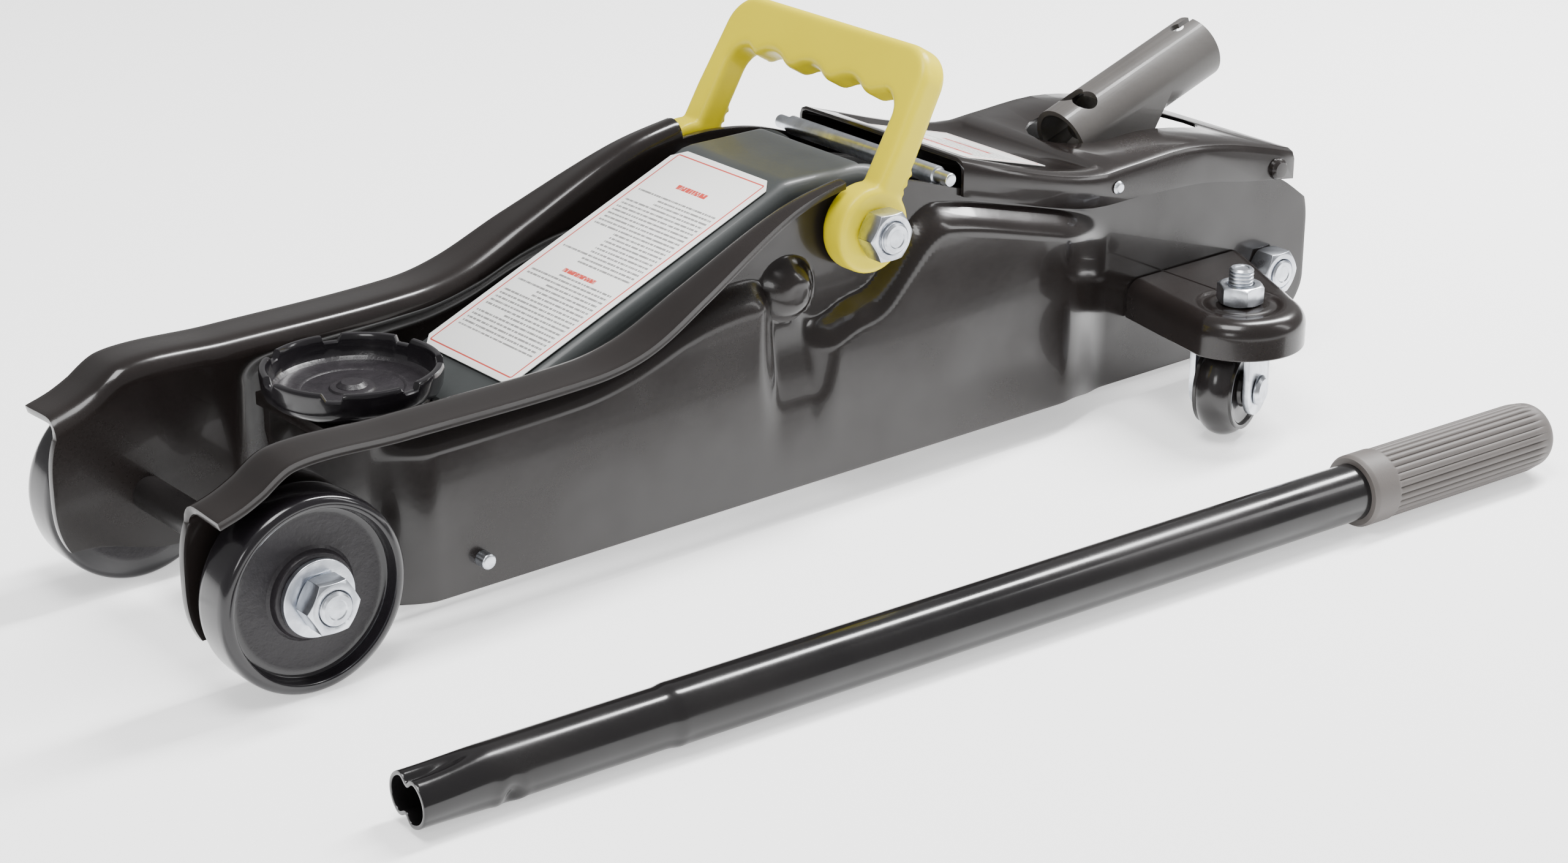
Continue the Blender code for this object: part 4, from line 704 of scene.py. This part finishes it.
def ease(name, width=0.35 * MM, angle=42, finish=None):
    obj = soften(copy_of(name), width, 2, angle)
    obj.name = "eased_" + name
    finish = finish or FINISH_OF[slot_of[name]]
    return hand_over(obj, finish, body_of[name], name, slot=slot_of[name])


for name in ("top_cover", "cover_screw_left", "cover_screw_right", "saddle_bracket", "link_pin",
             "knee_pin", "saddle_pin", "ram_yoke", "ram_rod", "ram_cylinder", "power_unit_body",
             "socket_pin", "pump_plunger", "release_valve", "valve_drive_dog",
             "spring_anchor_rod"):
    ease(name)
ease("saddle_screw", 0.3 * MM, finish=saddle_paint)
for name in ("radius_link_", "link_stud_", "front_rivet_", "caster_fork_", "caster_rivet_"):
    for end, side in SIDES:
        ease(name + end, 0.25 * MM)


# %% [markdown]
# A hexagon nut gets its look from the cone that takes off its corners. Here a six sided prism is
# intersected with a turned blank that has that cone, and the bore is cut through the result.

# %% Nuts, washers and threads
def hexagon_nut(name, thread, flats, height):
    """A nut that stands on z = 0."""
    corner = flats / math.sqrt(3)
    bpy.ops.mesh.primitive_cylinder_add(vertices=6, radius=corner, depth=height + 2 * MM,
                                        location=(0, 0, height / 2), rotation=(0, 0, math.pi / 6))
    obj = bpy.context.object
    obj.name = name
    take(obj)
    bpy.ops.object.transform_apply(location=True, rotation=True, scale=True)
    face, drop = flats / 2 * 0.96, (corner - flats / 2 * 0.96) * math.tan(30 * DEG)
    blank = lathe("blank", [(0, 0), (face, 0), (corner + MM, drop * 1.6),
                            (corner + MM, height - drop * 1.6), (face, height), (0, height)])
    join_up(obj, blank, kind="INTERSECT")
    bore = lathe("bore", [(0, -MM), (thread + 0.6 * MM, -MM), (thread + 0.6 * MM, 0.3 * MM),
                          (thread + 0.1 * MM, 0.8 * MM), (thread + 0.1 * MM, height - 0.8 * MM),
                          (thread + 0.6 * MM, height - 0.3 * MM),
                          (thread + 0.6 * MM, height + MM), (0, height + MM)], steps=48)
    cut(obj, bore)
    return soften(obj, 0.25 * MM, 2, 25)


def fit(pattern, name, matrix, finish, *replaced, body="frame", slot="zinc"):
    """A copy of a modelled pattern with its own mesh, put in its place."""
    obj = bpy.data.objects.new(name, pattern.data.copy())
    bpy.context.scene.collection.objects.link(obj)
    obj.data.transform(matrix)
    return hand_over(obj, finish, body, *replaced, slot=slot)


def threaded(radius, low, high, pitch=1.25 * MM):
    """The edge of a stud along its thread."""
    points, place = [], low
    while place + pitch < high:
        points += [(radius, place), (radius, place + 0.3 * pitch),
                   (radius - 0.5 * pitch, place + 0.65 * pitch)]
        place += pitch
    return points + [(radius, place), (radius, high)]


def stud_end(radius, end):
    """A chamfered end with the shallow ring that a lathe centre leaves."""
    return [(radius - 0.8 * MM, end), (radius * 0.62, end), (radius * 0.55, end - 0.35 * MM),
            (0, end - 0.35 * MM)]


m12_nut = hexagon_nut("m12_nut", 6 * MM, 18 * MM, 9.5 * MM)
m10_nut = hexagon_nut("m10_nut", 5 * MM, 17 * MM, 8 * MM)
rear_nut = hexagon_nut("rear_nut", 6 * MM, 18 * MM, 11 * MM)
washer = soften(lathe("washer", [(6.4 * MM, 0), (14 * MM, 0), (14 * MM, 2.4 * MM),
                                 (6.4 * MM, 2.4 * MM)], ring=True), 0.4 * MM, 3, 40)
for name, side in SIDES:
    out = (0, side, 0)
    fit(washer, "wheel_washer_" + name, facing(out, (0, side * 69.8 * MM, AXLE_Z)), zinc,
        "front_washer_" + name)
    fit(m12_nut, "wheel_nut_" + name, facing(out, (0, side * 72.6 * MM, AXLE_Z)), zinc,
        "front_nut_" + name)
    fit(m12_nut, "shaft_nut_" + name, facing(out, (254 * MM, side * 62.3 * MM, 110 * MM)), zinc,
        "pivot_nut_" + name)
    fit(m10_nut, "caster_nut_" + name, level(54.3 * MM)
        @ Matrix.Translation((420 * MM, side * 96 * MM, 0)), zinc, "swivel_nut_" + name)
fit(rear_nut, "rear_bolt_nut", facing((0, -1, 0), (486 * MM, -48.3 * MM, 42 * MM)), zinc,
    "rear_mount_nut")
for pattern in (m12_nut, m10_nut, rear_nut, washer):
    bpy.data.objects.remove(pattern)

# %% Studs and bolts
half = (threaded(6 * MM, 69 * MM, 82.9 * MM) + stud_end(6 * MM, 83.6 * MM))
middle = [(6.5 * MM, 48.3 * MM), (10.5 * MM, 48.3 * MM), (10.5 * MM, 51 * MM),
          (6.5 * MM, 51 * MM), (6.5 * MM, 68.4 * MM)]
outline = middle + half
axle = lathe("front_axle_stud", [(r, -h) for r, h in outline[::-1]] + outline, (0, 0, AXLE_Z),
             (0, 1, 0), 48)
# The axle's finish carries painted shade over its middle, between the wheels.
hand_over(axle, axle_zinc, "frame", "front_axle", slot="zinc")
outline = [(7 * MM, 0), (7 * MM, 60.8 * MM)] + threaded(6 * MM, 61.5 * MM, 73.3 * MM) + stud_end(
    6 * MM, 74 * MM)
shaft = lathe("arm_shaft", [(r, -h) for r, h in outline[:0:-1]] + outline, (254 * MM, 0, 110 * MM),
              (0, 1, 0), 48)
hand_over(shaft, zinc, "frame", "arm_pivot_shaft", slot="zinc")
for name, side in SIDES:
    outline = ([(0, 42.5 * MM), (9 * MM, 42.5 * MM), (9 * MM, 44.2 * MM), (5 * MM, 44.2 * MM),
                (5 * MM, 52 * MM)] + threaded(5 * MM, 53 * MM, 68.2 * MM, 1.5 * MM)
               + stud_end(5 * MM, 69 * MM))
    bolt = lathe("caster_bolt_" + name, outline, (420 * MM, side * 96 * MM, 0), (0, 0, 1), 48)
    hand_over(bolt, zinc, "frame", "swivel_bolt_" + name, slot="zinc")
head = hexagon_nut("head", 0.5 * MM, 18 * MM, 11 * MM)
head.data.transform(facing((0, 1, 0), (486 * MM, 48.3 * MM, 42 * MM)))
outline = ([(r, -h) for r, h in stud_end(6 * MM, 60.3 * MM)[::-1]]
           + [(6 * MM, -59.6 * MM), (6 * MM, 50 * MM), (5 * MM, 59 * MM), (0, 59 * MM)])
bolt = lathe("rear_bolt", outline, (486 * MM, 0, 42 * MM), (0, 1, 0), 48)
take(bolt)
head.select_set(True)
bpy.ops.object.join()
hand_over(bolt, zinc, "frame", "rear_mount_bolt", slot="zinc")

# %% [markdown]
# The saddle is a cast cup. It is turned first, and then the rim is lowered in seven places to
# leave the notches that grip a car's jacking point.

# %% Saddle
SADDLE_TOP = 85.2 * MM
cup = [(r * MM, z * MM) for r, z in (
    (3.4, 76.6), (7.2, 76.6), (8.0, 76.4), (8.6, 75.7), (9.4, 75.5), (18.4, 75.5), (19.0, 75.9),
    (19.8, 76.0), (20.6, 75.7), (25.8, 75.6), (27.6, 76.0), (29.0, 77.2), (29.6, 79.0),
    (29.9, 82.4), (30.1, 84.3), (30.5, 85.0), (31.1, 85.2), (32.0, 85.2), (32.6, 84.9),
    (32.95, 84.2), (33, 82.8), (32.8, 80.0), (32.5, 77.4), (31.6, 75.4), (29.6, 73.6),
    (27.0, 72.6), (25.6, 71.9), (24.6, 71.5), (3.4, 71.5))]
saddle = lathe("cast_saddle", cup, (60.3 * MM, 0, 0), (0, 0, 1), 224, ring=True)
NOTCHES, NOTCH_HALF, NOTCH_DEEP = 7, 3.3 * MM, 2.6 * MM
for point in saddle.data.vertices:
    x, y = point.co.x - 60.3 * MM, point.co.y
    if math.hypot(x, y) > 29.4 * MM and point.co.z > 78 * MM:
        turn = (math.atan2(y, x) / (2 * math.pi) * NOTCHES - 0.4 + 0.5) % 1 - 0.5
        away = abs(turn) * 2 * math.pi / NOTCHES * 31 * MM
        share = (point.co.z - 78 * MM) / (SADDLE_TOP - 78 * MM)
        point.co.z -= NOTCH_DEEP * share * ramp((NOTCH_HALF - away) / MM + 0.5)
hand_over(saddle, saddle_paint, "saddle", "saddle", angle=28)

# %% [markdown]
# The lifting arm is a U-shaped pressing. A solid in the shape of its side has the long top edges
# rounded as a press brake does, and the same shape, smaller by the sheet, hollows it.

# %% Lifting arm
ARM_HALF, ARM_SHEET, ARM_SLOPE = 34 * MM, 4 * MM, 22.6 * DEG


def arm_top(x):
    return 75.9 * MM + (x - 114.6 * MM) * math.tan(ARM_SLOPE)


def mm(points):
    return [(x * MM, z * MM) for x, z in points]


bend_x = 114.6 + (126 - 75.9) / math.tan(ARM_SLOPE)
ARM_SIDE = (mm(arc(62, 42, 11, 268, 112.6, 24)) + [(72 * MM, arm_top(72 * MM) - 0.6 * MM)]
            + mm([(bend_x - 6, 126 - 2.6), (bend_x - 1.5, 125.4), (bend_x + 3, 126)])
            + mm(arc(269, 98, 28, 90, -30, 28)) + mm(arc(284.9, 73.23, 10.5, -10, -130, 16))
            + mm([(238, 84)]))


def round_top(obj, offset, half):
    """Rounds the two long edges along the top."""
    edit(obj, "EDGE")
    bpy.ops.mesh.select_all(action="DESELECT")
    leave()
    for edge in obj.data.edges:
        a, b = [obj.data.vertices[i].co for i in edge.vertices]
        flat = abs(abs(a.y) - half) < 0.01 * MM and abs(a.y - b.y) < 0.01 * MM
        high = min(a.z - arm_top(min(a.x, bend_x * MM)), b.z - arm_top(min(b.x, bend_x * MM)))
        over = a.x > 66 * MM and b.x > 66 * MM and (high > -7 * MM or min(a.z, b.z) > 108 * MM)
        edge.select = flat and over and min(a.z, b.z) > 50 * MM
    bpy.ops.object.mode_set(mode="EDIT")
    bpy.ops.mesh.bevel(offset=offset, segments=6, affect="EDGES")
    leave()


arm = slab("lifting_arm", ARM_SIDE, 2 * ARM_HALF, upright(0))
round_top(arm, 6 * MM, ARM_HALF)
cosine = math.cos(ARM_SLOPE)
inside = [(90 * MM, 20 * MM), (90 * MM, arm_top(90 * MM) - ARM_SHEET / cosine),
          ((bend_x + 1) * MM, (126 - 4) * MM), (272 * MM, 122 * MM), (272 * MM, 140 * MM),
          (330 * MM, 140 * MM), (330 * MM, 20 * MM)]
hollow = slab("hollow", inside, 2 * (ARM_HALF - ARM_SHEET), upright(0))
cut(arm, hollow)
bpy.ops.mesh.primitive_cube_add(size=1)
nose = bpy.context.object
nose.scale = (60 * MM, 2 * (ARM_HALF - ARM_SHEET), 80 * MM)
nose.location = (62 * MM, 0, 50 * MM)
take(nose)
bpy.ops.object.transform_apply(location=True, rotation=True, scale=True)
cut(arm, nose)
for x, z, radius in ((254, 110, 7.5), (62, 42, 5.3), (284.9, 73.23, 6.3)):
    cut(arm, lathe("bore", mm([(0, -60), (radius, -60), (radius, 60), (0, 60)]),
                   (x * MM, 0, z * MM), (0, 1, 0), 48))
soften(arm, 0.5 * MM, 2, 38)
hand_over(arm, arm_paint, "arm", "lift_arm", slot="grey_paint", angle=30)

# %% [markdown]
# The arm's label is thin white film with clipped corners and a fine red rule inside its edge.
# The real one is covered in small print. Rows of plain grey bars stand for it, with no words.

# %% Label print
def rounded_box(across, along, half_across, half_along, corner):
    """Distance outside a rounded rectangle, and below 0 inside it."""
    a = across.sum("ABSOLUTE") - (half_across - corner)
    b = along.sum("ABSOLUTE") - (half_along - corner)
    within = a.sum("MAXIMUM", b).sum("MINIMUM", 0.0)
    a, b = a.sum("MAXIMUM", 0.0), b.sum("MAXIMUM", 0.0)
    return (a * a + b * b) ** 0.5 + within - corner


def band(value, low, high, blur=0.12 * MM):
    """1 between two values."""
    return value.step(low - blur, low + blur) * (1 - value.step(high - blur, high + blur))


def printed(name, middle, slope, half_across, half_along, pitch, gaps, heads, border):
    """White film with rows of bars. Gaps are empty bands and heads red lines, along its length."""
    film = Finish(name, coat_weight=0.25, coat_roughness=0.15)
    x, y, _ = film.place.parts()
    along = (x - middle[0]) * (1 / math.cos(slope))
    across = y - middle[1]
    edge = rounded_box(across, along, half_across, half_along, 4 * MM)
    rule = band(edge, -border - 0.35 * MM, -border + 0.35 * MM)
    row = (along * (1 / pitch)).sum("FRACT")
    line = row.step(0.3, 0.36) * (1 - row.step(0.72, 0.78))
    count = (along * (1 / pitch)).sum("FLOOR")
    words = across.node("ShaderNodeCombineXYZ", {0: across * 1300, 1: count * 7.0, 2: 0.0})
    ink = words.noise(1.0, 1).step(0.40, 0.46)
    ragged = count.node("ShaderNodeCombineXYZ", {0: count * 3.7, 1: 0.0, 2: 0.0}).noise(1.0, 0)
    short = (across + half_across).step(0.6 * MM, 0.7 * MM)
    margin = 1 - across.step(half_across * 0.3, half_across * 0.3 + 0.1 * MM) * ragged.step(
        0.5, 0.52)
    body = line * ink * (1 - edge.step(-border - 2.6 * MM, -border - 2.4 * MM)) * margin * short
    for low, high in gaps:
        body = body * (1 - band(along, low, high))
    red = rule
    for low, high, width in heads:
        title = band(along, low, high) * band(across, -width, width)
        red = red.sum("MAXIMUM", title * ink.sum("MAXIMUM", 0.35))
    paper_white = colour(0.86, 0.86, 0.84)
    inked = (body * 0.8).mix(paper_white, colour(0.07, 0.065, 0.065))
    film.set("Base Color", red.node("ShaderNodeMix", {
        "Factor": red, 6: inked, 7: colour(0.55, 0.045, 0.03)}, output=2, data_type="RGBA"))
    film.set("Roughness", film.place.noise(300, 1) * 0.1 + 0.34)
    return film


sticker_low, sticker_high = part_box("arm_sticker")
sticker_middle = (sticker_low + sticker_high) / 2
arm_film = printed("arm_label_film", sticker_middle, ARM_SLOPE, 29.5 * MM, 67 * MM, 2.3 * MM,
                   ((-12 * MM, -4 * MM), (41 * MM, 66 * MM), (-66 * MM, -52 * MM)),
                   ((-10.6 * MM, -8.4 * MM, 10 * MM), (47 * MM, 49.6 * MM, 9 * MM)), 3.2 * MM)
ease("arm_sticker", 0.1 * MM, 42, arm_film)
cover_low, cover_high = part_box("cover_label")
cover_film = printed("cover_label_film", (cover_low + cover_high) / 2, 0.26, 30 * MM, 24 * MM,
                     2.6 * MM, ((-23 * MM, -14 * MM), (12 * MM, 23 * MM)),
                     ((-12 * MM, -9 * MM, 22 * MM), (6 * MM, 9 * MM, 14 * MM)), 1.6 * MM)
ease("cover_label", 0.1 * MM, 42, cover_film)


# %% [markdown]
# The carrying handle is one plastic moulding. Its bar, legs and round lugs are made as rounded
# blocks. Remesh melts them into one skin, and Smooth gives the soft corners of a moulding.

# %% Carrying handle
PIVOT = Vector((254 * MM, 0, 110 * MM))
LEAN = (Matrix.Translation(PIVOT) @ Matrix.Rotation(30.5 * DEG, 4, "Y")
        @ Matrix.Rotation(math.pi / 2, 4, "Z") @ Matrix.Rotation(math.pi / 2, 4, "X"))


def finger_side(y):
    """The grip's underside, with three bumps between the fingers."""
    wave = math.cos((y + 8.8) / 23.6 * 2 * math.pi)
    return 50.2 - 1.9 * wave - 0.5 * abs(wave)


grip_bend = arc(45.5, 57.2, 14, 0, 90, 12)
outer = grip_bend + [(-y, u) for y, u in grip_bend[::-1]]
under = [(y, finger_side(y)) for y in [-36 + 1.5 * i for i in range(49)]]
inner = ([(-y, u) for y, u in arc(40.6, 42, 9, 0, 80, 8)] + under
         + arc(40.6, 42, 9, 80, 0, 8))
bail_outline = mm([(61.4, 2), (61.2, 30)] + outer + [(-61.2, 30), (-61.4, 2), (-49.8, 2)] + inner
                  + [(49.8, 2)])
bail = slab("moulded_handle", bail_outline, 13.4 * MM, LEAN)
soften(bail, 3.2 * MM, 4, 50)
for side in (-1, 1):
    lug = lathe("lug", mm([(0, 49.7), (15, 49.7), (16.6, 50.3), (17, 51.6), (17, 59.4),
                           (16.3, 61), (14.6, 61.7), (0, 61.7)]), PIVOT, (0, side, 0), 96)
    join_up(bail, lug)
    for u in (13, 17, 21, 25):
        place = PIVOT + (LEAN.to_3x3() @ Vector((0, u * MM, 6.2 * MM)))
        tooth = lathe("tooth", mm([(0, 51), (1.5, 51), (1.5, 60.4), (0, 60.4)]), place,
                      (0, side, 0), 12)
        join_up(bail, tooth)
    cut(bail, lathe("bore", mm([(0, 40), (7.5, 40), (7.5, 70), (0, 70)]), PIVOT, (0, side, 0), 64))
apply(bail, "REMESH", mode="VOXEL", voxel_size=0.75 * MM)
apply(bail, "SMOOTH", factor=0.5, iterations=7)
hand_over(bail, yellow, "carry_handle", "carry_handle", slot="yellow_plastic", angle=60)

# %% [markdown]
# The lever is a steel tube whose end is crimped to fit the socket. A flat grid is wrapped round
# the lever's line, its radius follows the crimp, the two grooves and the dimple, and Solidify
# gives the wall. The grip is made the same way, with ribs that run along it.

# %% Lever line
FROM, TO = Vector((-30 * MM, -169.4 * MM, 0)), Vector((482.5 * MM, -201.7 * MM, 0))
TUBE_R, COLLAR_R, GRIP_LENGTH, TUBE_WALL = 11 * MM, 14.2 * MM, 104 * MM, 1.5 * MM
flat_length = (TO - FROM).length
rise = (COLLAR_R - TUBE_R) / (flat_length - GRIP_LENGTH - 28 * MM)
FROM.z = TUBE_R - rise * 28 * MM + 0.1 * MM
TO.z = FROM.z + rise * flat_length
ALONG = (TO - FROM).normalized()
NEAR = Vector((0, 0, 1)).cross(ALONG) * -1
ABOVE = NEAR.cross(ALONG) * -1
LENGTH = (TO - FROM).length
print("lever length", round(LENGTH, 4))


def wrapped(name, start, end, columns, rows, radius):
    """A grid wrapped round the lever's line. radius(s, a) is in metres and radians, with a = 0
    on the lever's near side and a quarter turn at its top."""
    def place(u, v):
        s, a = start + (end - start) * u, 2 * math.pi * v
        r = radius(s, a)
        return FROM + ALONG * s + NEAR * (math.cos(a) * r) + ABOVE * (math.sin(a) * r)

    return tidy(press(name, columns, rows, place))


def bell(value, width):
    return math.exp(-(value / width) ** 2)


def tube_radius(s, a):
    r = 10.45 * MM + 0.55 * MM * ramp((s - 94 * MM) / (5 * MM))
    mouth = 1 - ramp((s - 1 * MM) / (27 * MM))
    r -= MM * mouth * (1.3 * math.sin(a) ** 2 - 0.9 * math.cos(a) ** 2)
    groove = 1 - ramp((s - 5 * MM) / (24 * MM))
    for middle in (0.5 * math.pi + 0.25, 1.5 * math.pi):
        turn = (a - middle + math.pi) % (2 * math.pi) - math.pi
        r -= 3.1 * MM * groove * bell(turn, 0.3)
    turn = (a - 0.55 + math.pi) % (2 * math.pi) - math.pi
    away = math.hypot((s - 33 * MM) / (2.6 * MM), turn * 10 * MM / (4.2 * MM))
    r -= 1.9 * MM * bell(away, 1) - 0.35 * MM * bell(away - 1.9, 0.7)
    r += 0.4 * MM * bell(s - 97 * MM, 3 * MM) * bell(turn, 0.5)
    return r


tube = wrapped("lever_tube", 0, LENGTH - 14 * MM, 420, 96, tube_radius)
apply(tube, "SOLIDIFY", thickness=TUBE_WALL, offset=-1, use_even_offset=True)
soften(tube, 0.3 * MM, 2, 60)
hand_over(tube, tube_paint, "pump_lever", "pump_lever_tube", angle=40)


def grip_radius(s, a):
    from_end = LENGTH - s
    along = s - (LENGTH - GRIP_LENGTH)
    collar = 1 - ramp((along - 12.5 * MM) / (1.2 * MM))
    rib = abs(math.sin(15 * a)) ** 0.6
    worn = ramp((from_end - 7 * MM) / (8 * MM))
    r = 13.0 * MM + 0.75 * MM * rib * worn
    r = r * (1 - collar) + 14.1 * MM * collar
    lip = ramp(along / (1.6 * MM))
    dome = max(0.0, 1 - from_end / (9 * MM))
    return (r - 0.9 * MM * (1 - lip)) * math.sqrt(max(1 - dome**2.4, 0))


skin = wrapped("ribbed_grip", LENGTH - GRIP_LENGTH, LENGTH, 150, 360, grip_radius)
edit(skin, "EDGE")
bpy.ops.mesh.select_all(action="DESELECT")
bpy.ops.mesh.select_non_manifold()
bpy.ops.mesh.extrude_edges_move()
leave()
inner = [p for p in skin.data.vertices if p.select]
for point in inner:
    out = point.co - FROM
    s = out.dot(ALONG)
    point.co = FROM + ALONG * s + (out - ALONG * s).normalized() * 11.05 * MM
tidy(skin)
hand_over(skin, grip_rubber, "pump_lever", "pump_lever_grip", slot="rubber", angle=50)

# %% [markdown]
# A caster wheel is moulded with a crowned tread and a dished face. Its fork swings at rest by
# twenty degrees, so the axle's direction is turned by the same amount.

# %% Caster wheels
caster_outline = mm([(4.5, 9), (7, 9), (7.6, 8.6), (8.2, 7.2), (9, 6.9), (14, 6.9), (15, 7.4),
                     (15.6, 8.3), (16.4, 8.6), (17.2, 8.5)] + arc(12.4, 0, 8.6, 57, 0, 10))
caster_outline += [(r, -h) for r, h in caster_outline[::-1] if h > 0.001 * MM]
for name, side in SIDES:
    swing = Matrix.Rotation(side * -20 * DEG, 3, "Z")
    hub = Vector((420 * MM, side * 96 * MM, 0)) + swing @ Vector((-7 * MM, 0, 21 * MM))
    wheel = lathe("moulded_caster_wheel_" + name, caster_outline, hub,
                  swing @ Vector((0, side, 0)), 96, ring=True)
    hand_over(wheel, wheel_plastic, "caster_wheel_" + name, "caster_wheel_" + name,
              slot="wheel_plastic")


# %% [markdown]
# Each caster hangs under a wing that is pressed from sheet: flat on top, with a wide soft roll
# into its skirt and a raised ring round the swivel nut. A grid is pressed outwards from the
# plate to that shape, and Solidify gives the sheet.

# %% Caster wings
WING_TOP, WING_BOTTOM, WING_R = 54 * MM, 38 * MM, 27 * MM


def wing_rim(t):
    """The wing's edge in plan, from its rear root at 0, round the nose, to its front root at 1."""
    root, y0 = 48.3 * MM, 96 * MM
    rear, front = (473 * MM, root), (403 * MM, root)
    first = (420 * MM + WING_R * math.cos(22 * DEG), y0 + WING_R * math.sin(22 * DEG))
    last = (420 * MM + WING_R * math.cos(172 * DEG), y0 + WING_R * math.sin(172 * DEG))
    if t < 0.3:
        k = t / 0.3
        return (rear[0] + (first[0] - rear[0]) * k, rear[1] + (first[1] - rear[1]) * k)
    if t > 0.72:
        k = (t - 0.72) / 0.28
        return (last[0] + (front[0] - last[0]) * k, last[1] + (front[1] - last[1]) * k)
    a = (22 + 150 * (t - 0.3) / 0.42) * DEG
    return (420 * MM + WING_R * math.cos(a), y0 + WING_R * math.sin(a))


def wing_shape(side):
    roll = 7.5 * MM

    def shape(u, v):
        x, y = wing_rim(u)
        middle = (424 * MM, min(y, 94 * MM) if u < 0.3 or u > 0.72 else 94 * MM)
        reach = math.hypot(x - middle[0], y - middle[1])
        run = v * (reach + WING_TOP - WING_BOTTOM - roll * (2 - math.pi / 2))
        if run < reach - roll:
            inset, drop = reach - run, 0
        elif run < reach - roll + roll * math.pi / 2:
            turn = (run - reach + roll) / roll
            inset, drop = roll * (1 - math.sin(turn)), roll * (1 - math.cos(turn))
        else:
            inset, drop = 0, roll + run - (reach - roll + roll * math.pi / 2)
        k = inset / reach
        px, py = x + (middle[0] - x) * k, y + (middle[1] - y) * k
        away = math.hypot(px - 420 * MM, py - 96 * MM)
        ring = -0.9 * MM * bell(away - 15 * MM, 1.6 * MM)
        return Vector((px, side * py, WING_TOP - drop + ring))

    return shape


for name, side in SIDES:
    wing = tidy(press("caster_wing_" + name, 160, 60, wing_shape(side)))
    top = max(wing.data.polygons, key=lambda f: f.center.z)
    if top.normal.z < 0:
        wing.data.flip_normals()
    apply(wing, "SOLIDIFY", thickness=3 * MM, offset=-1, use_even_offset=True)
    soften(wing, 0.7 * MM, 2, 60)
    hand_over(wing, black_paint, "frame", "caster_bracket_" + name, angle=45)

# %% [markdown]
# The handle socket is a short tube with its underside cut away, so that it straddles the pump.
# It is cut with the same moves that a workshop would use: a slot at the mouth and a window.

# %% Handle socket
TILT = 19 * DEG
axis = Vector((math.cos(TILT), 0, math.sin(TILT)))
lift = Vector((-math.sin(TILT), 0, math.cos(TILT)))
mouth = Vector((489.3 * MM, 0, 129.1 * MM))
base = mouth - axis * 84 * MM
SOCKET_R, SOCKET_WALL = 14 * MM, 2.2 * MM
inner_r = SOCKET_R - SOCKET_WALL
socket = lathe("grey_socket", mm([(14, 83.6), (14, 0), (11.8, 0), (11.8, 84), (13.6, 84)]), base,
               axis, 96, ring=True)


def block(name, size, middle, turn=Matrix()):
    bpy.ops.mesh.primitive_cube_add(size=1)
    obj = bpy.context.object
    obj.name = name
    obj.data.transform(Matrix.Diagonal((*size, 1)))
    obj.data.transform(Matrix.Translation(middle) @ turn)
    return obj


along_socket = Matrix((lift, Vector((0, -1, 0)), axis)).transposed().to_4x4()
cut(socket, block("belly", (36 * MM, 2 * inner_r, 49 * MM),
                  base + axis * 23.5 * MM - lift * 22 * MM, along_socket))
low, high = base + axis * 6 * MM, base + axis * 56 * MM
cheek = ([(low.x, low.z), (high.x, high.z)] + arc(433 * MM, 90 * MM, 9 * MM, -30, -180, 20)
         + [(low.x - 1 * MM, low.z - 8 * MM)])
for side in (-1, 1):
    join_up(socket, slab("cheek", cheek, SOCKET_WALL,
                         upright(side * (SOCKET_R - SOCKET_WALL / 2))))
cut(socket, lathe("pin_bore", mm([(0, -30), (4.3, -30), (4.3, 30), (0, 30)]),
                  (430 * MM, 0, 90 * MM), (0, 1, 0), 48))
join_up(socket, lathe("drive_bar", mm([(0, -12.9), (3, -12.9), (3, 12.9), (0, 12.9)]),
                      (446.5 * MM, 0, 100.3 * MM), (0, 1, 0), 32))
top = mouth + lift * SOCKET_R
cut(socket, lathe("key_hole", mm([(0, -6), (3.1, -6), (3.1, 6), (0, 6)]),
                  top - axis * 9 * MM, lift, 32),
    block("key_slot", (10 * MM, 3 * MM, 12 * MM), top - axis * 4 * MM, along_socket))
for across in (-4, 4):
    cut(socket, lathe("window", mm([(0, -12), (5.2, -12), (5.2, 8), (0, 8)]),
                      base + axis * 14 * MM + lift * SOCKET_R + Vector((0, across * MM, 0)),
                      lift, 40))
soften(socket, 0.35 * MM, 2, 50)
hand_over(socket, socket_paint, "socket", "handle_socket", slot="grey_steel", angle=35)

# %% Closing
low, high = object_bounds()
print("visual box", [round(b - a, 4) for a, b in zip(low, high)])
